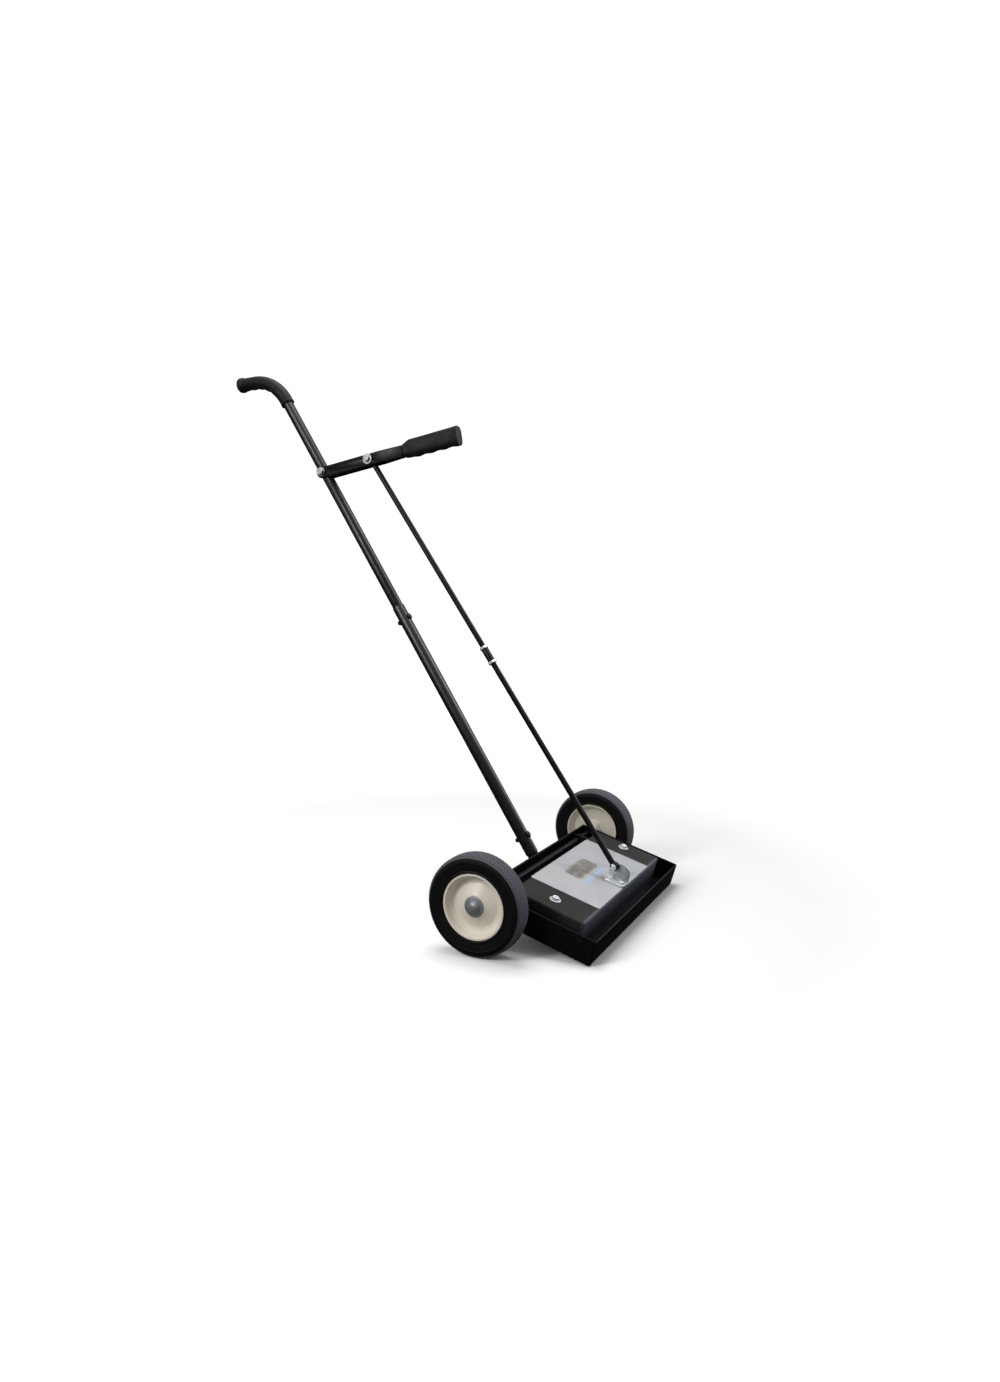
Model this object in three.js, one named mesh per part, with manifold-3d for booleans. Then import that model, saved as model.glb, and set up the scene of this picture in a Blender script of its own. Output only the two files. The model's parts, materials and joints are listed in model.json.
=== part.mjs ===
// Walk-behind magnetic floor sweeper with a release lever.
//
// Millimetres, +Z up. The front of the sweeper faces -Y and the axle lies along X.
// The origin is the bottom centre of the whole machine's box, on the floor.
// "left" and "right" are the operator's, who stands behind at +Y: left is +X.
//
// The machine is drawn parked: it stands on its two wheels and on the front edge of
// the tray, so the tray leans forward by the angle that puts that edge on the floor.

import * as THREE from 'three';
import { mergeVertices } from 'three/addons/utils/BufferGeometryUtils.js';
import Module from 'manifold-3d';

const wasm = await Module();
wasm.setup();

const degrees = Math.PI / 180;

// ---------------------------------------------------------------- driving dimensions

const gap = 0.3; // between pieces that touch
const runningGap = 0.8; // between plates that slide past each other

// wheels and axle
const wheelRadius = 101.6;
const tyreWidth = 47;
const tyreShoulder = 10;
const rimRadius = 66;
const rimWidth = 41;
const hubBossLength = 38.5;
const hubBossOuter = 14; // from the wheel's middle to the boss's outer face
const bushRadius = 9.5;
const axleRadius = 6.35;
const axleWasherRadius = 20.5;
const axleWasherThickness = 2;
const axleCapRadius = 12.5;
const axleCapLength = 6.5;
const spacerRadius = 11;
const spacerLength = 16.4; // between the tray's side and the hub

// tray, measured from the axle with the tray level
const trayHalfWidth = 272.5;
const trayFront = -234;
const trayRear = 18;
const trayTop = 16;
const trayBottom = -37;
const traySheet = 2;
const trayCorner = 5;
const hemThickness = 4.5;
const hemHeight = 7;

// magnet carriage, measured like the tray
const coverSideRoom = 30; // between the tray's side and the cover
const coverFrontRoom = 38.5; // between the tray's front and the cover
const coverRear = -32;
const coverRise = 9.6; // above the tray's rim
const coverSheet = 2;
const coverCorner = 4;
const sideStrip = 83; // left bare beside the label
const labelMargin = 2;
const labelThickness = 0.8;
const magnetCount = 6;
const magnetGap = 1;
const magnetEndRoom = 14; // between the row and the cover's side
const magnetDepth = 100;
const magnetHeight = 19;
const backingThickness = 5;
const backingMargin = 2;
const magnetBoltInset = 35.5; // in from the cover's side
const hingeArmInset = 40.5;
const hingeArmThickness = 6;
const hingeArmRadius = 13;

// lift bracket on the carriage, and the pin that the lift rod hangs on
const liftPinRadius = 4;
const liftPinRise = 26.5; // above the bracket's foot
const liftPinInset = 9.5; // forward of the bracket's rear edge
const bracketSheet = 4;
const bracketLength = 46;
const bracketSetback = 1.5; // behind the cover's front
const bracketFootWidth = 30;
const bracketRise = 9; // above the pin

// handle
const handleTrayAngle = 41.1 * degrees; // between the tray's floor and the tubes
const handleFootHeight = -7; // where the tubes' centreline meets the rear wall
const upperTubeRadius = 12.7;
const upperTubeWall = 1.5;
const lowerTubeWall = 1.2;
const tubeSlip = 0.4; // between a tube and the one inside it
const socketPlateWidth = 64;
const socketPlateMargin = 2; // below the hem and above the floor
const socketPlateThickness = 4;
const socketStubLength = 110;
const socketBoltAlong = 60;
const jointBoltAlong = 637;
const jointOverlap = 80;
const jointBoltToEnd = 35;
const leverPivotAlong = 1055;
const bendStartAlong = 1269;
const bendRadius = 110;
const bendAngle = 59 * degrees;
const handleEndStraight = 44;
const handleGripLead = 13; // the grip starts this far below the bend
const handleGripWall = 3.7;
const handleGripEnd = 3;

// release lever
const leverTubeAngle = 113.2 * degrees; // between the lever and the tubes above its pivot
const leverDepth = 26.5;
const leverDrop = 2; // the lever's middle lies this far below its pivot
const leverSheet = 2;
const leverTaperStart = 170;
const leverTaperEnd = 228;
const leverNeckHalfWidth = 9;
const leverPinAlong = 137;
const leverTangHalfWidth = 7;
const leverTangDepth = 18;
const leverTangEnd = 345;
const leverGripStart = 232;
const leverGripLength = 146;
const leverGripWidth = 30;
const leverGripRound = 5;
const leverGripRise = 9; // above the arm's top
const leverGripDrop = 7; // below the arm
const leverGripStep = 2; // how far it stands out where it meets the arm
const leverGripShoulder = 18;
const leverGripFlare = 1.5; // how much deeper it gets towards its end
const fingerCount = 4;
const fingerDepth = 2;
const webToTube = 1.8; // leaves room for the lever to swing

// lift rod
const rodRadius = 6.35;
const rodEyeRadius = 9;
const upperRodLength = 545;
const couplingLength = 32;
const couplingWall = 2.35;
const couplingMiddleGap = 6;
const jamNutFlats = 19;
const jamNutThickness = 6;
const openPivotPlay = 0.8; // radial play of the lift pin in the rod's lower eye

// fasteners
const boltM6 = { shank: 3, head: 8, headHeight: 4, flats: 10, nut: 5 };
const boltM8 = { shank: 4, flats: 13, headHeight: 5.3, nut: 6.5, washer: 12, washerThickness: 1.6 };
const boltM10 = { shank: 4.75, flats: 16, headHeight: 6.4, nut: 8, washer: 10.5, washerThickness: 1.6 };
const boltHoleGap = 0.35;
const boltTail = 2.5;

// ---------------------------------------------------------------- derived layout

const trayReach = Math.hypot(trayFront, trayBottom);
const trayEdgeAngle = Math.atan2(-trayBottom, -trayFront);
const trayTilt = Math.asin(wheelRadius / trayReach) - trayEdgeAngle;
const handleAngle = trayTilt + handleTrayAngle;
const leverAngle = handleAngle + leverTubeAngle;
const hubInner = trayHalfWidth + gap + spacerLength + gap;
const hubOuter = hubInner + hubBossLength;
const wheelCentre = hubOuter - hubBossOuter;

const coverHalfWidth = trayHalfWidth - traySheet - coverSideRoom;
const coverFront = trayFront + traySheet + coverFrontRoom;
const coverTop = trayTop + coverRise;
const coverMiddle = (coverFront + coverRear) / 2;
const labelHalfWidth = coverHalfWidth - sideStrip;
const labelBase = coverTop + gap;
const labelTop = labelBase + labelThickness;

const bracketFront = coverFront + bracketSetback;
const bracketRear = bracketFront + bracketLength;
const footBase = labelTop + gap;
const footTop = footBase + bracketSheet;
const liftPinForward = liftPinInset - bracketRear;
const liftPinHeight = footTop + liftPinRise;

const lowerTubeRadius = upperTubeRadius + tubeSlip + lowerTubeWall;
const handleGripRadius = upperTubeRadius + 2 * gap + handleGripWall;
const rodEyeWidth = 2 * rodRadius;
const couplingRadius = rodRadius + gap + couplingWall;

// Points in the machine's side view, y then z, with the axle above y = 0.
function pointAlong(start, angle, distance) {
  return {
    y: start.y + distance * Math.cos(angle),
    z: start.z + distance * Math.sin(angle),
  };
}

function fromTray(y, z) {
  const axle = { y: 0, z: wheelRadius };
  return pointAlong(pointAlong(axle, trayTilt, y), trayTilt + Math.PI / 2, z);
}

const handleFoot = fromTray(trayRear, handleFootHeight);
const leverPivot = pointAlong(handleFoot, handleAngle, leverPivotAlong);
const leverPin = pointAlong(leverPivot, leverAngle, leverPinAlong);
const liftPin = fromTray(-liftPinForward, liftPinHeight);
const rodLength = Math.hypot(leverPin.y - liftPin.y, leverPin.z - liftPin.z);
const rodAngle = Math.atan2(leverPin.z - liftPin.z, leverPin.y - liftPin.y);

// ---------------------------------------------------------------- materials

const finishes = {
  blackPaint: { color: 0x141416, roughness: 0.45, metalness: 0.3 },
  zinc: { color: 0xb9bec4, roughness: 0.35, metalness: 0.9 },
  steel: { color: 0x26272a, roughness: 0.45, metalness: 0.8 },
  ferrite: { color: 0x35363a, roughness: 0.7, metalness: 0.2 },
  rubber: { color: 0x1b1c20, roughness: 0.9, metalness: 0 },
  gripRubber: { color: 0x111113, roughness: 0.8, metalness: 0 },
  hubPlastic: { color: 0xd8d0bf, roughness: 0.5, metalness: 0 },
  bushPlastic: { color: 0x6d6a63, roughness: 0.6, metalness: 0 },
  label: { color: 0xb4b6ba, roughness: 0.5, metalness: 0 },
};

function piece(name, finish, geometry, group) {
  const mesh = new THREE.Mesh(geometry, new THREE.MeshStandardMaterial(finishes[finish]));
  mesh.name = name;
  group.add(mesh);
  return mesh;
}

// ---------------------------------------------------------------- solids

function signedVolume(geometry) {
  const position = geometry.getAttribute('position');
  const index = geometry.getIndex();
  const a = new THREE.Vector3();
  const b = new THREE.Vector3();
  const c = new THREE.Vector3();
  let total = 0;
  for (let i = 0; i < index.count; i += 3) {
    a.fromBufferAttribute(position, index.getX(i));
    b.fromBufferAttribute(position, index.getX(i + 1));
    c.fromBufferAttribute(position, index.getX(i + 2));
    total += a.dot(b.cross(c)) / 6;
  }
  return total;
}

// Welds a closed geometry and turns its faces outwards.
function solid(geometry) {
  const bare = geometry.clone();
  bare.deleteAttribute('normal');
  bare.deleteAttribute('uv');
  const welded = mergeVertices(bare, 1e-4);
  const corners = Array.from(welded.getIndex().array);
  const kept = [];
  for (let i = 0; i < corners.length; i += 3) {
    const [a, b, c] = corners.slice(i, i + 3);
    if (a !== b && b !== c && c !== a) kept.push(a, b, c);
  }
  welded.setIndex(kept);
  if (signedVolume(welded) < 0) kept.reverse();
  return new wasm.Manifold(new wasm.Mesh({
    numProp: 3,
    vertProperties: new Float32Array(welded.getAttribute('position').array),
    triVerts: new Uint32Array(kept),
  }));
}

function shaped(manifold) {
  const mesh = manifold.getMesh();
  const geometry = new THREE.BufferGeometry();
  geometry.setAttribute('position', new THREE.BufferAttribute(mesh.vertProperties, 3));
  geometry.setIndex(new THREE.BufferAttribute(mesh.triVerts, 1));
  geometry.computeVertexNormals();
  return geometry;
}

function block([x0, x1], [y0, y1], [z0, z1]) {
  const geometry = new THREE.BoxGeometry(x1 - x0, y1 - y0, z1 - z0);
  return geometry.translate((x0 + x1) / 2, (y0 + y1) / 2, (z0 + z1) / 2);
}

// A cylinder, or a prism with few sides, from one place on an axis to another.
function round(axis, radius, from, to, sides = 16) {
  const geometry = new THREE.CylinderGeometry(radius, radius, to - from, sides);
  geometry.translate(0, (from + to) / 2, 0);
  if (axis === 'x') geometry.rotateZ(-Math.PI / 2);
  if (axis === 'z') geometry.rotateX(Math.PI / 2);
  return geometry;
}

function hexagon(axis, flats, from, to) {
  return round(axis, flats / Math.sqrt(3), from, to, 6);
}

// A body of revolution about X. Each point of the closed profile is radius, x.
function turned(profile, sides) {
  const loop = [...profile, profile[0]].map(([radius, x]) => new THREE.Vector2(radius, x));
  return new THREE.LatheGeometry(loop, sides).rotateZ(-Math.PI / 2);
}

function roundedRectangle([x0, x1], [y0, y1], radius) {
  const shape = new THREE.Shape();
  shape.absarc(x1 - radius, y0 + radius, radius, -Math.PI / 2, 0, false);
  shape.absarc(x1 - radius, y1 - radius, radius, 0, Math.PI / 2, false);
  shape.absarc(x0 + radius, y1 - radius, radius, Math.PI / 2, Math.PI, false);
  shape.absarc(x0 + radius, y0 + radius, radius, Math.PI, 1.5 * Math.PI, false);
  return shape;
}

function upright(shape, from, to, curveSegments = 3) {
  const options = { depth: to - from, bevelEnabled: false, curveSegments };
  return new THREE.ExtrudeGeometry(shape, options).translate(0, 0, from);
}

// A side-view outline in y and z, drawn out along X.
function sideways(shape, from, to, options = {}) {
  const settings = { depth: to - from, bevelEnabled: false, curveSegments: 10, ...options };
  const basis = new THREE.Matrix4().makeBasis(
    new THREE.Vector3(0, 1, 0),
    new THREE.Vector3(0, 0, 1),
    new THREE.Vector3(1, 0, 0),
  );
  return new THREE.ExtrudeGeometry(shape, settings).applyMatrix4(basis).translate(from, 0, 0);
}

function washer(axis, outer, inner, from, to) {
  const hole = solid(round(axis, inner, from - 1, to + 1));
  return solid(round(axis, outer, from, to)).subtract(hole);
}

function nut(axis, flats, inner, from, to) {
  return solid(hexagon(axis, flats, from, to)).subtract(solid(round(axis, inner, from - 1, to + 1)));
}

// ---------------------------------------------------------------- groups

function placed(point, angle) {
  const group = new THREE.Group();
  group.position.set(0, point.y, point.z);
  group.rotation.x = angle;
  return group;
}

const axlePoint = { y: 0, z: wheelRadius };
const machine = new THREE.Group();
const head = placed(axlePoint, trayTilt); // y and z as in the tray's dimensions
const carriage = placed(axlePoint, trayTilt);
const handle = placed(handleFoot, handleAngle - Math.PI / 2); // z runs up the tubes, y to the rear
const lever = placed(leverPivot, leverAngle - Math.PI); // -y runs out to the lever's grip
const rod = placed(leverPin, rodAngle - Math.PI / 2); // z runs up the rod
machine.add(head, carriage, handle, lever, rod);

const sides = [['left', 1], ['right', -1]];

// ---------------------------------------------------------------- tray and axle

const axleHoleRadius = axleRadius + gap;

function trayShell() {
  const width = [-trayHalfWidth, trayHalfWidth];
  const depth = [trayFront, trayRear];
  const shrink = ([low, high], by) => [low + by, high - by];
  const outside = upright(roundedRectangle(width, depth, trayCorner), trayBottom, trayTop);
  const inside = upright(
    roundedRectangle(shrink(width, traySheet), shrink(depth, traySheet), trayCorner - traySheet),
    trayBottom + traySheet,
    trayTop + 1,
  );
  const hemOpening = upright(
    roundedRectangle(shrink(width, hemThickness), shrink(depth, hemThickness), traySheet),
    trayTop - hemHeight - 1,
    trayTop + 1,
  );
  const hemBand = upright(roundedRectangle(width, depth, trayCorner), trayTop - hemHeight, trayTop);
  const hem = solid(hemBand).subtract(solid(hemOpening));
  const axleHole = solid(round('x', axleHoleRadius, -trayHalfWidth - 1, trayHalfWidth + 1));
  return solid(outside).subtract(solid(inside)).add(hem).subtract(axleHole);
}

piece('tray_shell', 'blackPaint', shaped(trayShell()), head);

const washerInner = hubOuter + gap;
const washerOuter = washerInner + axleWasherThickness;
const capInner = washerOuter + gap;
const axleEnd = capInner + axleCapLength / 2;

piece('axle', 'steel', shaped(solid(round('x', axleRadius, -axleEnd, axleEnd))), head);

function axleCap() {
  const end = capInner + axleCapLength;
  const crown = axleCapRadius * 0.6;
  const profile = [
    [axleHoleRadius, capInner],
    [axleCapRadius, capInner],
    [axleCapRadius, capInner + axleCapLength * 0.4],
    [crown, end],
    [0, end],
    [0, axleEnd + gap],
    [axleHoleRadius, axleEnd + gap],
  ];
  return turned(profile, 20);
}

function mirrored(geometry, side) {
  return side > 0 ? geometry : geometry.rotateZ(Math.PI);
}

for (const [name, side] of sides) {
  const spacer = washer('x', spacerRadius, axleHoleRadius, trayHalfWidth + gap, hubInner - gap);
  const flange = washer('x', axleWasherRadius, axleHoleRadius, washerInner, washerOuter);
  piece(`${name}_axle_spacer`, 'zinc', mirrored(shaped(spacer), side), head);
  piece(`${name}_axle_washer`, 'zinc', mirrored(shaped(flange), side), head);
  piece(`${name}_axle_cap`, 'zinc', mirrored(shaped(solid(axleCap())), side), head);
}

// ---------------------------------------------------------------- wheels

function arcPoints([radius, x], size, from, to, steps) {
  return Array.from({ length: steps + 1 }, (unused, i) => {
    const angle = from + ((to - from) * i) / steps;
    return [radius + size * Math.sin(angle), x + size * Math.cos(angle)];
  });
}

function tyre() {
  const half = tyreWidth / 2;
  const shoulder = wheelRadius - tyreShoulder;
  const profile = [
    [rimRadius + gap, half],
    ...arcPoints([shoulder, half - tyreShoulder], tyreShoulder, 0, Math.PI / 2, 4),
    ...arcPoints([shoulder, tyreShoulder - half], tyreShoulder, Math.PI / 2, Math.PI, 4),
    [rimRadius + gap, -half],
  ];
  return turned(profile, 40);
}

// The hub is dished: a lip, a deep ring and a cone that rises to the boss.
function hub() {
  const lip = rimWidth / 2;
  const bore = bushRadius + gap;
  const boss = axleWasherRadius + 1;
  const ringRadius = rimRadius * 0.76;
  const ringDepth = 5;
  const web = 6;
  const innerBoss = bushRadius + 6;
  const profile = [
    [bore, hubBossOuter],
    [boss, hubBossOuter],
    [(boss + ringRadius) / 2, (hubBossOuter + ringDepth) / 2 - 1],
    [ringRadius, ringDepth],
    [rimRadius - 9, ringDepth + 4],
    [rimRadius - 5, lip - 2],
    [rimRadius - 3, lip],
    [rimRadius, lip],
    [rimRadius, -lip],
    [rimRadius - 3, -lip],
    [rimRadius - 7, -lip + 6],
    [ringRadius, ringDepth - web],
    [innerBoss + 4, ringDepth - web],
    [innerBoss, ringDepth - web - 4],
    [innerBoss, hubBossOuter - hubBossLength],
    [bore, hubBossOuter - hubBossLength],
  ];
  return turned(profile, 32);
}

for (const [name, side] of sides) {
  const wheel = new THREE.Group();
  wheel.position.set(side * wheelCentre, 0, wheelRadius);
  machine.add(wheel);
  const bush = washer(
    'x',
    bushRadius,
    axleHoleRadius,
    hubBossOuter - hubBossLength + gap,
    hubBossOuter - gap,
  );
  piece(`${name}_tyre`, 'rubber', mirrored(shaped(solid(tyre())), side), wheel);
  piece(`${name}_wheel_hub`, 'hubPlastic', mirrored(shaped(solid(hub())), side), wheel);
  piece(`${name}_wheel_bush`, 'bushPlastic', mirrored(shaped(bush), side), wheel);
}

// ---------------------------------------------------------------- magnet carriage

const coverBottom = trayBottom + traySheet + gap;
const earInner = rodEyeWidth / 2 + runningGap;
const earOuter = earInner + bracketSheet;
const footSpan = [earOuter - bracketFootWidth, earOuter];
const footBoltX = (footSpan[0] + earInner) / 2;
const footBolts = [
  ['front', bracketFront + 10],
  ['rear', bracketRear - 9],
];

function footBoltHoles(low, high) {
  const holes = footBolts.map(([, y]) => {
    const hole = round('z', boltM6.shank + boltHoleGap, low, high);
    return solid(hole.translate(footBoltX, y, 0));
  });
  return holes[0].add(holes[1]);
}

const magnetBoltReach = coverHalfWidth - magnetBoltInset;

function magnetBoltHoles(low, high) {
  const holes = sides.map(([, side]) => {
    const hole = round('z', boltM8.shank + boltHoleGap, low, high);
    return solid(hole.translate(side * magnetBoltReach, coverMiddle, 0));
  });
  return holes[0].add(holes[1]);
}

function magnetCover() {
  const width = [-coverHalfWidth, coverHalfWidth];
  const depth = [coverFront, coverRear];
  const shrink = ([low, high]) => [low + coverSheet, high - coverSheet];
  const outside = upright(roundedRectangle(width, depth, coverCorner), coverBottom, coverTop);
  const inside = upright(
    roundedRectangle(shrink(width), shrink(depth), coverCorner - coverSheet),
    coverBottom - 1,
    coverTop - coverSheet,
  );
  return solid(outside)
    .subtract(solid(inside))
    .subtract(magnetBoltHoles(coverTop - coverSheet - 1, coverTop + 1))
    .subtract(footBoltHoles(coverTop - coverSheet - 1, coverTop + 1));
}

piece('magnet_cover', 'blackPaint', shaped(magnetCover()), carriage);

const magnetTop = coverBottom + magnetHeight;
const backingBase = magnetTop + gap;
const backingTop = backingBase + backingThickness;
const rowHalf = coverHalfWidth - coverSheet - magnetEndRoom;
const magnetSpacing = (2 * rowHalf + magnetGap) / magnetCount;
const magnetLength = magnetSpacing - magnetGap;

for (let i = 0; i < magnetCount; i += 1) {
  const x = (i - (magnetCount - 1) / 2) * magnetSpacing;
  const magnet = block(
    [x - magnetLength / 2, x + magnetLength / 2],
    [coverMiddle - magnetDepth / 2, coverMiddle + magnetDepth / 2],
    [coverBottom, magnetTop],
  );
  piece(`magnet_${i + 1}`, 'ferrite', shaped(solid(magnet)), carriage);
}

const backingPlate = solid(block(
  [-rowHalf - backingMargin, rowHalf + backingMargin],
  [coverMiddle - magnetDepth / 2 - backingMargin, coverMiddle + magnetDepth / 2 + backingMargin],
  [backingBase, backingTop],
)).subtract(magnetBoltHoles(backingBase - 1, backingTop + 1));
piece('backing_plate', 'steel', shaped(backingPlate), carriage);

for (const [name, side] of sides) {
  const flangeBase = coverTop + gap;
  const flangeTop = flangeBase + boltM8.washerThickness;
  const headBase = flangeTop + gap;
  const holeRadius = boltM8.shank + boltHoleGap;
  const sleeve = washer('z', boltM8.shank * 2, holeRadius, backingTop + gap, coverTop - coverSheet - gap);
  const flange = washer('z', boltM8.washer, holeRadius, flangeBase, flangeTop);
  const bolt = solid(hexagon('z', boltM8.flats, headBase, headBase + boltM8.headHeight))
    .add(solid(round('z', boltM8.shank, backingBase + gap, headBase + 1)));
  const parts = [
    [`${name}_magnet_spacer`, 'zinc', sleeve],
    [`${name}_magnet_washer`, 'zinc', flange],
    [`${name}_magnet_bolt`, 'zinc', bolt],
  ];
  for (const [partName, finish, shape] of parts) {
    const mesh = piece(partName, finish, shaped(shape), carriage);
    mesh.position.set(side * magnetBoltReach, coverMiddle, 0);
  }
}

// Each arm is a plate behind the cover with an eye that turns on the axle.
function hingeArm() {
  const front = coverRear + gap;
  const shape = new THREE.Shape();
  shape.moveTo(front, hingeArmRadius);
  shape.lineTo(front, -hingeArmRadius);
  shape.lineTo(0, -hingeArmRadius);
  shape.absarc(0, 0, hingeArmRadius, -Math.PI / 2, Math.PI / 2, false);
  const half = hingeArmThickness / 2;
  const hole = solid(round('x', axleHoleRadius, -half - 1, half + 1));
  return solid(sideways(shape, -half, half)).subtract(hole);
}

for (const [name, side] of sides) {
  const arm = piece(`${name}_hinge_arm`, 'blackPaint', shaped(hingeArm()), carriage);
  arm.position.x = side * (coverHalfWidth - hingeArmInset);
}

const labelPlate = solid(block(
  [-labelHalfWidth, labelHalfWidth],
  [coverFront + labelMargin, coverRear - labelMargin],
  [labelBase, labelTop],
)).subtract(footBoltHoles(labelBase - 1, labelTop + 1));
piece('label_plate', 'label', shaped(labelPlate), carriage);

// ---------------------------------------------------------------- lift bracket

function liftBracket() {
  const pinHole = round('x', liftPinRadius + gap, earInner - 1, earOuter + 1)
    .translate(0, -liftPinForward, liftPinHeight);
  const foot = block(footSpan, [bracketFront, bracketRear], [footBase, footTop]);
  const earTop = liftPinHeight + bracketRise;
  const ear = block([earInner, earOuter], [bracketFront, bracketRear], [footBase, earTop]);
  return solid(foot)
    .add(solid(ear))
    .subtract(solid(pinHole))
    .subtract(footBoltHoles(footBase - 1, footTop + 1));
}

piece('lift_bracket', 'zinc', shaped(liftBracket()), carriage);

for (const [name, y] of footBolts) {
  const headBase = footTop + gap;
  const bolt = solid(hexagon('z', boltM6.flats, headBase, headBase + boltM6.headHeight))
    .add(solid(round('z', boltM6.shank, coverTop - coverSheet - boltTail, headBase + 1)));
  const mesh = piece(`${name}_bracket_bolt`, 'zinc', shaped(bolt), carriage);
  mesh.position.set(footBoltX, y, 0);
}

const pinHead = { radius: 7, thickness: 2.5 };
const clip = { radius: 7, thickness: 1.2 };
const clipInner = -rodEyeWidth / 2 - runningGap;

const liftPinTail = clipInner - clip.thickness - boltTail;
const liftPinSolid = solid(round('x', liftPinRadius, liftPinTail, earOuter + gap + 1))
  .add(solid(round('x', pinHead.radius, earOuter + gap, earOuter + gap + pinHead.thickness)));
const liftClip = washer('x', clip.radius, liftPinRadius + gap, clipInner - clip.thickness, clipInner);
for (const [name, shape] of [['lift_pin', liftPinSolid], ['lift_pin_clip', liftClip]]) {
  const mesh = piece(name, 'zinc', shaped(shape), carriage);
  mesh.position.set(0, -liftPinForward, liftPinHeight);
}

// ---------------------------------------------------------------- handle

const tubeSides = 16;
const lowerTubeStart = (
  socketPlateThickness + 2 * gap + lowerTubeRadius * Math.sin(handleTrayAngle)
) / Math.cos(handleTrayAngle);
const lowerTubeEnd = jointBoltAlong + jointBoltToEnd;
const upperTubeStart = lowerTubeEnd - jointOverlap;

function pipe(outer, wall, from, to) {
  const bore = solid(round('z', outer - wall, from - 1, to + 1, tubeSides));
  return solid(round('z', outer, from, to, tubeSides)).subtract(bore);
}

function crossHole(axis, radius, along) {
  const reach = lowerTubeRadius + 2;
  return solid(round(axis, radius, -reach, reach).translate(0, 0, along));
}

function handleSocket() {
  const plate = block(
    [-socketPlateWidth / 2, socketPlateWidth / 2],
    [trayRear + gap, trayRear + gap + socketPlateThickness],
    [trayBottom + socketPlateMargin, trayTop - hemHeight - socketPlateMargin],
  );
  const behindWall = block(
    [-socketPlateWidth, socketPlateWidth],
    [trayRear + gap, trayRear + 2 * socketStubLength],
    [-2 * socketStubLength, 2 * socketStubLength],
  );
  const intoHandle = (geometry) => solid(
    geometry.translate(0, -trayRear, -handleFootHeight).rotateX(Math.PI / 2 - handleTrayAngle),
  );
  const stub = pipe(upperTubeRadius, upperTubeWall, -socketStubLength / 2, socketStubLength);
  return stub
    .intersect(intoHandle(behindWall))
    .add(intoHandle(plate))
    .subtract(crossHole('y', boltM6.shank + boltHoleGap, socketBoltAlong));
}

const lowerTube = pipe(lowerTubeRadius, lowerTubeWall, lowerTubeStart, lowerTubeEnd)
  .subtract(crossHole('y', boltM6.shank + boltHoleGap, socketBoltAlong))
  .subtract(crossHole('y', boltM6.shank + boltHoleGap, jointBoltAlong));

// The bend turns to the rear, towards +y, and ends in a short straight.
class HandleEnd extends THREE.Curve {
  constructor(straight) {
    super();
    this.straight = straight;
  }

  getPoint(t, target = new THREE.Vector3()) {
    const bendLength = bendRadius * bendAngle;
    const along = t * (bendLength + this.straight);
    const turn = Math.min(along, bendLength) / bendRadius;
    const beyond = Math.max(along - bendLength, 0);
    const y = bendRadius * (1 - Math.cos(turn)) + beyond * Math.sin(bendAngle);
    const z = bendRadius * Math.sin(turn) + beyond * Math.cos(bendAngle);
    return target.set(0, y, bendStartAlong + z);
  }
}

function swept(radius, straight, steps) {
  const outline = new THREE.Shape().absarc(0, 0, radius, 0, 2 * Math.PI, false);
  const curveSegments = tubeSides / 2; // per half circle
  const options = { steps, curveSegments, extrudePath: new HandleEnd(straight) };
  return solid(new THREE.ExtrudeGeometry(outline, options));
}

const bendSteps = 12;

function upperTubeSolid(outer, wall) {
  const overlap = 2;
  const core = outer - wall;
  const bore = solid(round('z', core, upperTubeStart - 1, bendStartAlong + overlap, tubeSides));
  return solid(round('z', outer, upperTubeStart, bendStartAlong + overlap, tubeSides))
    .add(swept(outer, handleEndStraight, bendSteps))
    .subtract(bore)
    .subtract(swept(core, handleEndStraight + 1, bendSteps))
    .subtract(crossHole('y', boltM6.shank + boltHoleGap, jointBoltAlong))
    .subtract(crossHole('x', boltM10.shank + boltHoleGap, leverPivotAlong));
}

function handleGrip() {
  const core = upperTubeRadius + 2 * gap;
  const leadStart = bendStartAlong - handleGripLead;
  const leadEnd = bendStartAlong + 2;
  const lead = solid(round('z', handleGripRadius, leadStart, leadEnd, tubeSides));
  const sleeve = swept(handleGripRadius, handleEndStraight + gap + handleGripEnd, bendSteps);
  const room = swept(core, handleEndStraight + gap, bendSteps);
  const mouth = solid(round('z', core, leadStart - 1, leadEnd, tubeSides));
  return sleeve.add(lead).subtract(room).subtract(mouth);
}

piece('handle_socket', 'blackPaint', shaped(handleSocket()), handle);
piece('lower_tube', 'blackPaint', shaped(lowerTube), handle);
piece('upper_tube', 'blackPaint', shaped(upperTubeSolid(upperTubeRadius, upperTubeWall)), handle);
piece('handle_grip', 'gripRubber', shaped(handleGrip()), handle);

// Carriage bolts through the tubes: domed head in front, nut behind.
for (const [name, along] of [['socket', socketBoltAlong], ['joint', jointBoltAlong]]) {
  const seat = lowerTubeRadius + gap;
  const dome = [
    [0, -seat - boltM6.headHeight],
    [boltM6.head * 0.6, -seat - boltM6.headHeight * 0.8],
    [boltM6.head, -seat - boltM6.headHeight * 0.25],
    [boltM6.head, -seat],
    [0, -seat],
  ];
  const domedHead = solid(turned(dome, 16).rotateZ(Math.PI / 2));
  const shank = solid(round('y', boltM6.shank, -seat - 1, seat + boltM6.nut + boltTail));
  const bolt = piece(`${name}_bolt`, 'blackPaint', shaped(domedHead.add(shank)), handle);
  const lock = nut('y', boltM6.flats, boltM6.shank + gap, seat, seat + boltM6.nut);
  const lockNut = piece(`${name}_nut`, 'blackPaint', shaped(lock), handle);
  bolt.position.z = along;
  lockNut.position.z = along;
}

// ---------------------------------------------------------------- release lever

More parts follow.
